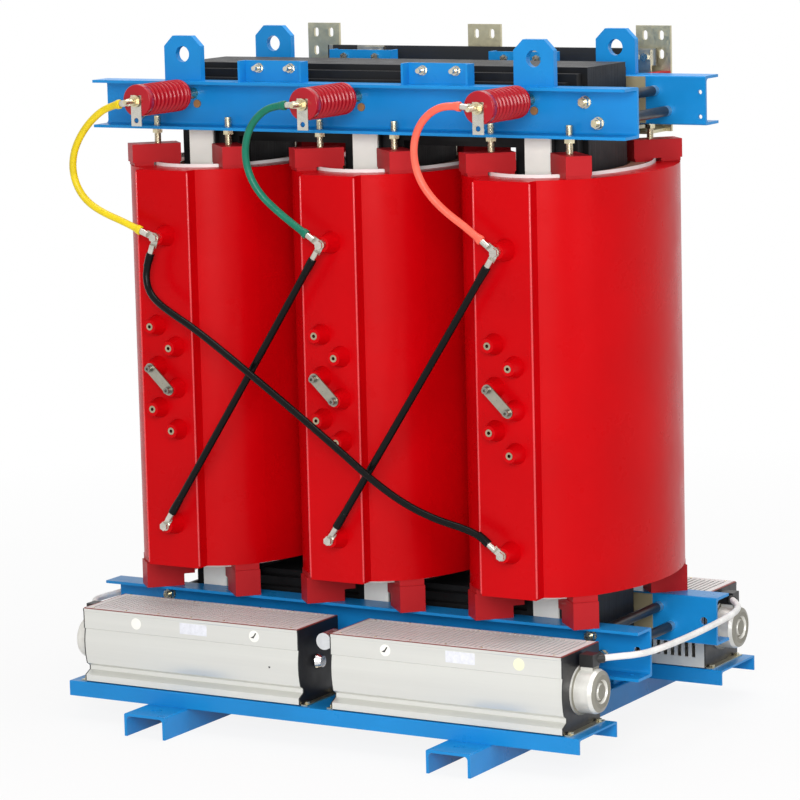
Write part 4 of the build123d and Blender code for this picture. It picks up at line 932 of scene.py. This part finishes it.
def floor():
    """Wide pale floor that looks white and keeps a soft shadow."""
    half, near, far, near_share = 14.0, 1.4, 4.0, 0.88
    mesh = bpy.data.meshes.new("floor")
    corners = [(-half, -half, 0), (half, -half, 0), (half, half, 0), (-half, half, 0)]
    mesh.from_pydata(corners, [], [(0, 1, 2, 3)])
    obj = bpy.data.objects.new("floor", mesh)
    bpy.context.scene.collection.objects.link(obj)
    material, tree, shader = new_finish("pale floor", (0.80, 0.80, 0.80), 0.8)
    output = tree.nodes["Material Output"]
    centre = add(tree, "ShaderNodeTexCoord").outputs["Object"]
    distance = add(tree, "ShaderNodeVectorMath", {0: centre}, operation="LENGTH").outputs["Value"]
    whiter = {"Value": distance, "From Min": near, "From Max": far, "To Min": near_share, "To Max": 1.0}
    share = add(tree, "ShaderNodeMapRange", whiter).outputs["Result"]
    wire(tree, output.inputs["Surface"], white_for_eye(tree, shader.outputs[0], share))
    mesh.materials.append(material)


def lamp(name, power, size, place_at, target):
    """Square soft white lamp aimed at a point."""
    data = bpy.data.lights.new(name, "AREA")
    data.energy = power
    data.size = size
    obj = bpy.data.objects.new(name, data)
    bpy.context.scene.collection.objects.link(obj)
    obj.location = place_at
    obj.rotation_euler = (Vector(target) - Vector(place_at)).to_track_quat("-Z", "Y").to_euler()


class TRANSFORMER_OT_stage(bpy.types.Operator):
    """Floor, lamps, white surroundings and camera"""

    bl_idname = "transformer.stage"
    bl_label = "Stage"

    def execute(self, context):
        scene, look = context.scene, context.scene.transformer_stage
        floor()
        wide = 3.0
        lamp("key", look.key, wide, (3.0, -6.2, 2.8), (0, 0, 0.9))
        lamp("fill", look.fill, wide, (5.5, -1.5, 2.2), (0, 0, 0.8))
        lamp("top", look.fill * 3, wide, (0.3, 0.4, 4.6), (0, 0, 0.8))
        world = bpy.data.worlds.new("white room")
        scene.world = world
        world.use_nodes = True
        tree = world.node_tree
        back = tree.nodes["Background"]
        back.inputs["Color"].default_value = (look.sky, look.sky, look.sky, 1)
        wire(tree, tree.nodes["World Output"].inputs["Surface"], white_for_eye(tree, back.outputs[0], 1.0))
        camera = bpy.data.objects.new("camera", bpy.data.cameras.new("camera"))
        scene.collection.objects.link(camera)
        camera.data.sensor_width = 36.0
        camera.data.lens = look.lens
        camera.data.clip_end = 60.0
        a, e = look.azimuth, look.elevation
        ahead = Vector((-math.sin(a) * math.cos(e), math.cos(a) * math.cos(e), -math.sin(e)))
        right = Vector((math.cos(a), math.sin(a), 0))
        above = right.cross(ahead)
        turned_right = right * math.cos(look.roll) + above * math.sin(look.roll)
        turned_above = above * math.cos(look.roll) - right * math.sin(look.roll)
        camera.matrix_world = Matrix.Translation(look.place) @ Matrix(
            (turned_right, turned_above, -ahead)).transposed().to_4x4()
        scene.camera = camera
        scene.view_settings.view_transform = "Standard"
        return {"FINISHED"}


# ---------------------------------------------------------------- add-on
GROUPS = {"transformer_paint": PaintSettings, "transformer_cables": CableSettings,
          "transformer_posts": PostSettings, "transformer_threads": ThreadSettings,
          "transformer_stage": StageSettings}
OPERATORS = (TRANSFORMER_OT_finishes, TRANSFORMER_OT_cables, TRANSFORMER_OT_posts,
             TRANSFORMER_OT_panel_edges, TRANSFORMER_OT_threads, TRANSFORMER_OT_fan_trim,
             TRANSFORMER_OT_tap_digits, TRANSFORMER_OT_stage)


class TRANSFORMER_PT_panel(bpy.types.Panel):
    """Settings and steps of the transformer"""

    bl_label = "Dry type transformer"
    bl_idname = "TRANSFORMER_PT_panel"
    bl_space_type = "VIEW_3D"
    bl_region_type = "UI"
    bl_category = "Transformer"

    def draw(self, context):
        for key in GROUPS:
            group = getattr(context.scene, key)
            box = self.layout.box()
            for name in group.__annotations__:
                box.prop(group, name)
        for operator in OPERATORS:
            self.layout.operator(operator.bl_idname)


def register():
    for cls in (*GROUPS.values(), *OPERATORS, TRANSFORMER_PT_panel):
        bpy.utils.register_class(cls)
    for key, cls in GROUPS.items():
        setattr(bpy.types.Scene, key, PointerProperty(type=cls))


def unregister():
    for key in GROUPS:
        delattr(bpy.types.Scene, key)
    for cls in reversed((*GROUPS.values(), *OPERATORS, TRANSFORMER_PT_panel)):
        bpy.utils.unregister_class(cls)


def main():
    """Register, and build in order."""
    register()
    for step in ("finishes", "cables", "posts", "panel_edges", "threads", "fan_trim", "tap_digits", "stage"):
        if getattr(bpy.ops.transformer, step)() != {"FINISHED"}:
            raise RuntimeError(f"{step} didn't finish")


if __name__ == "__main__":
    main()
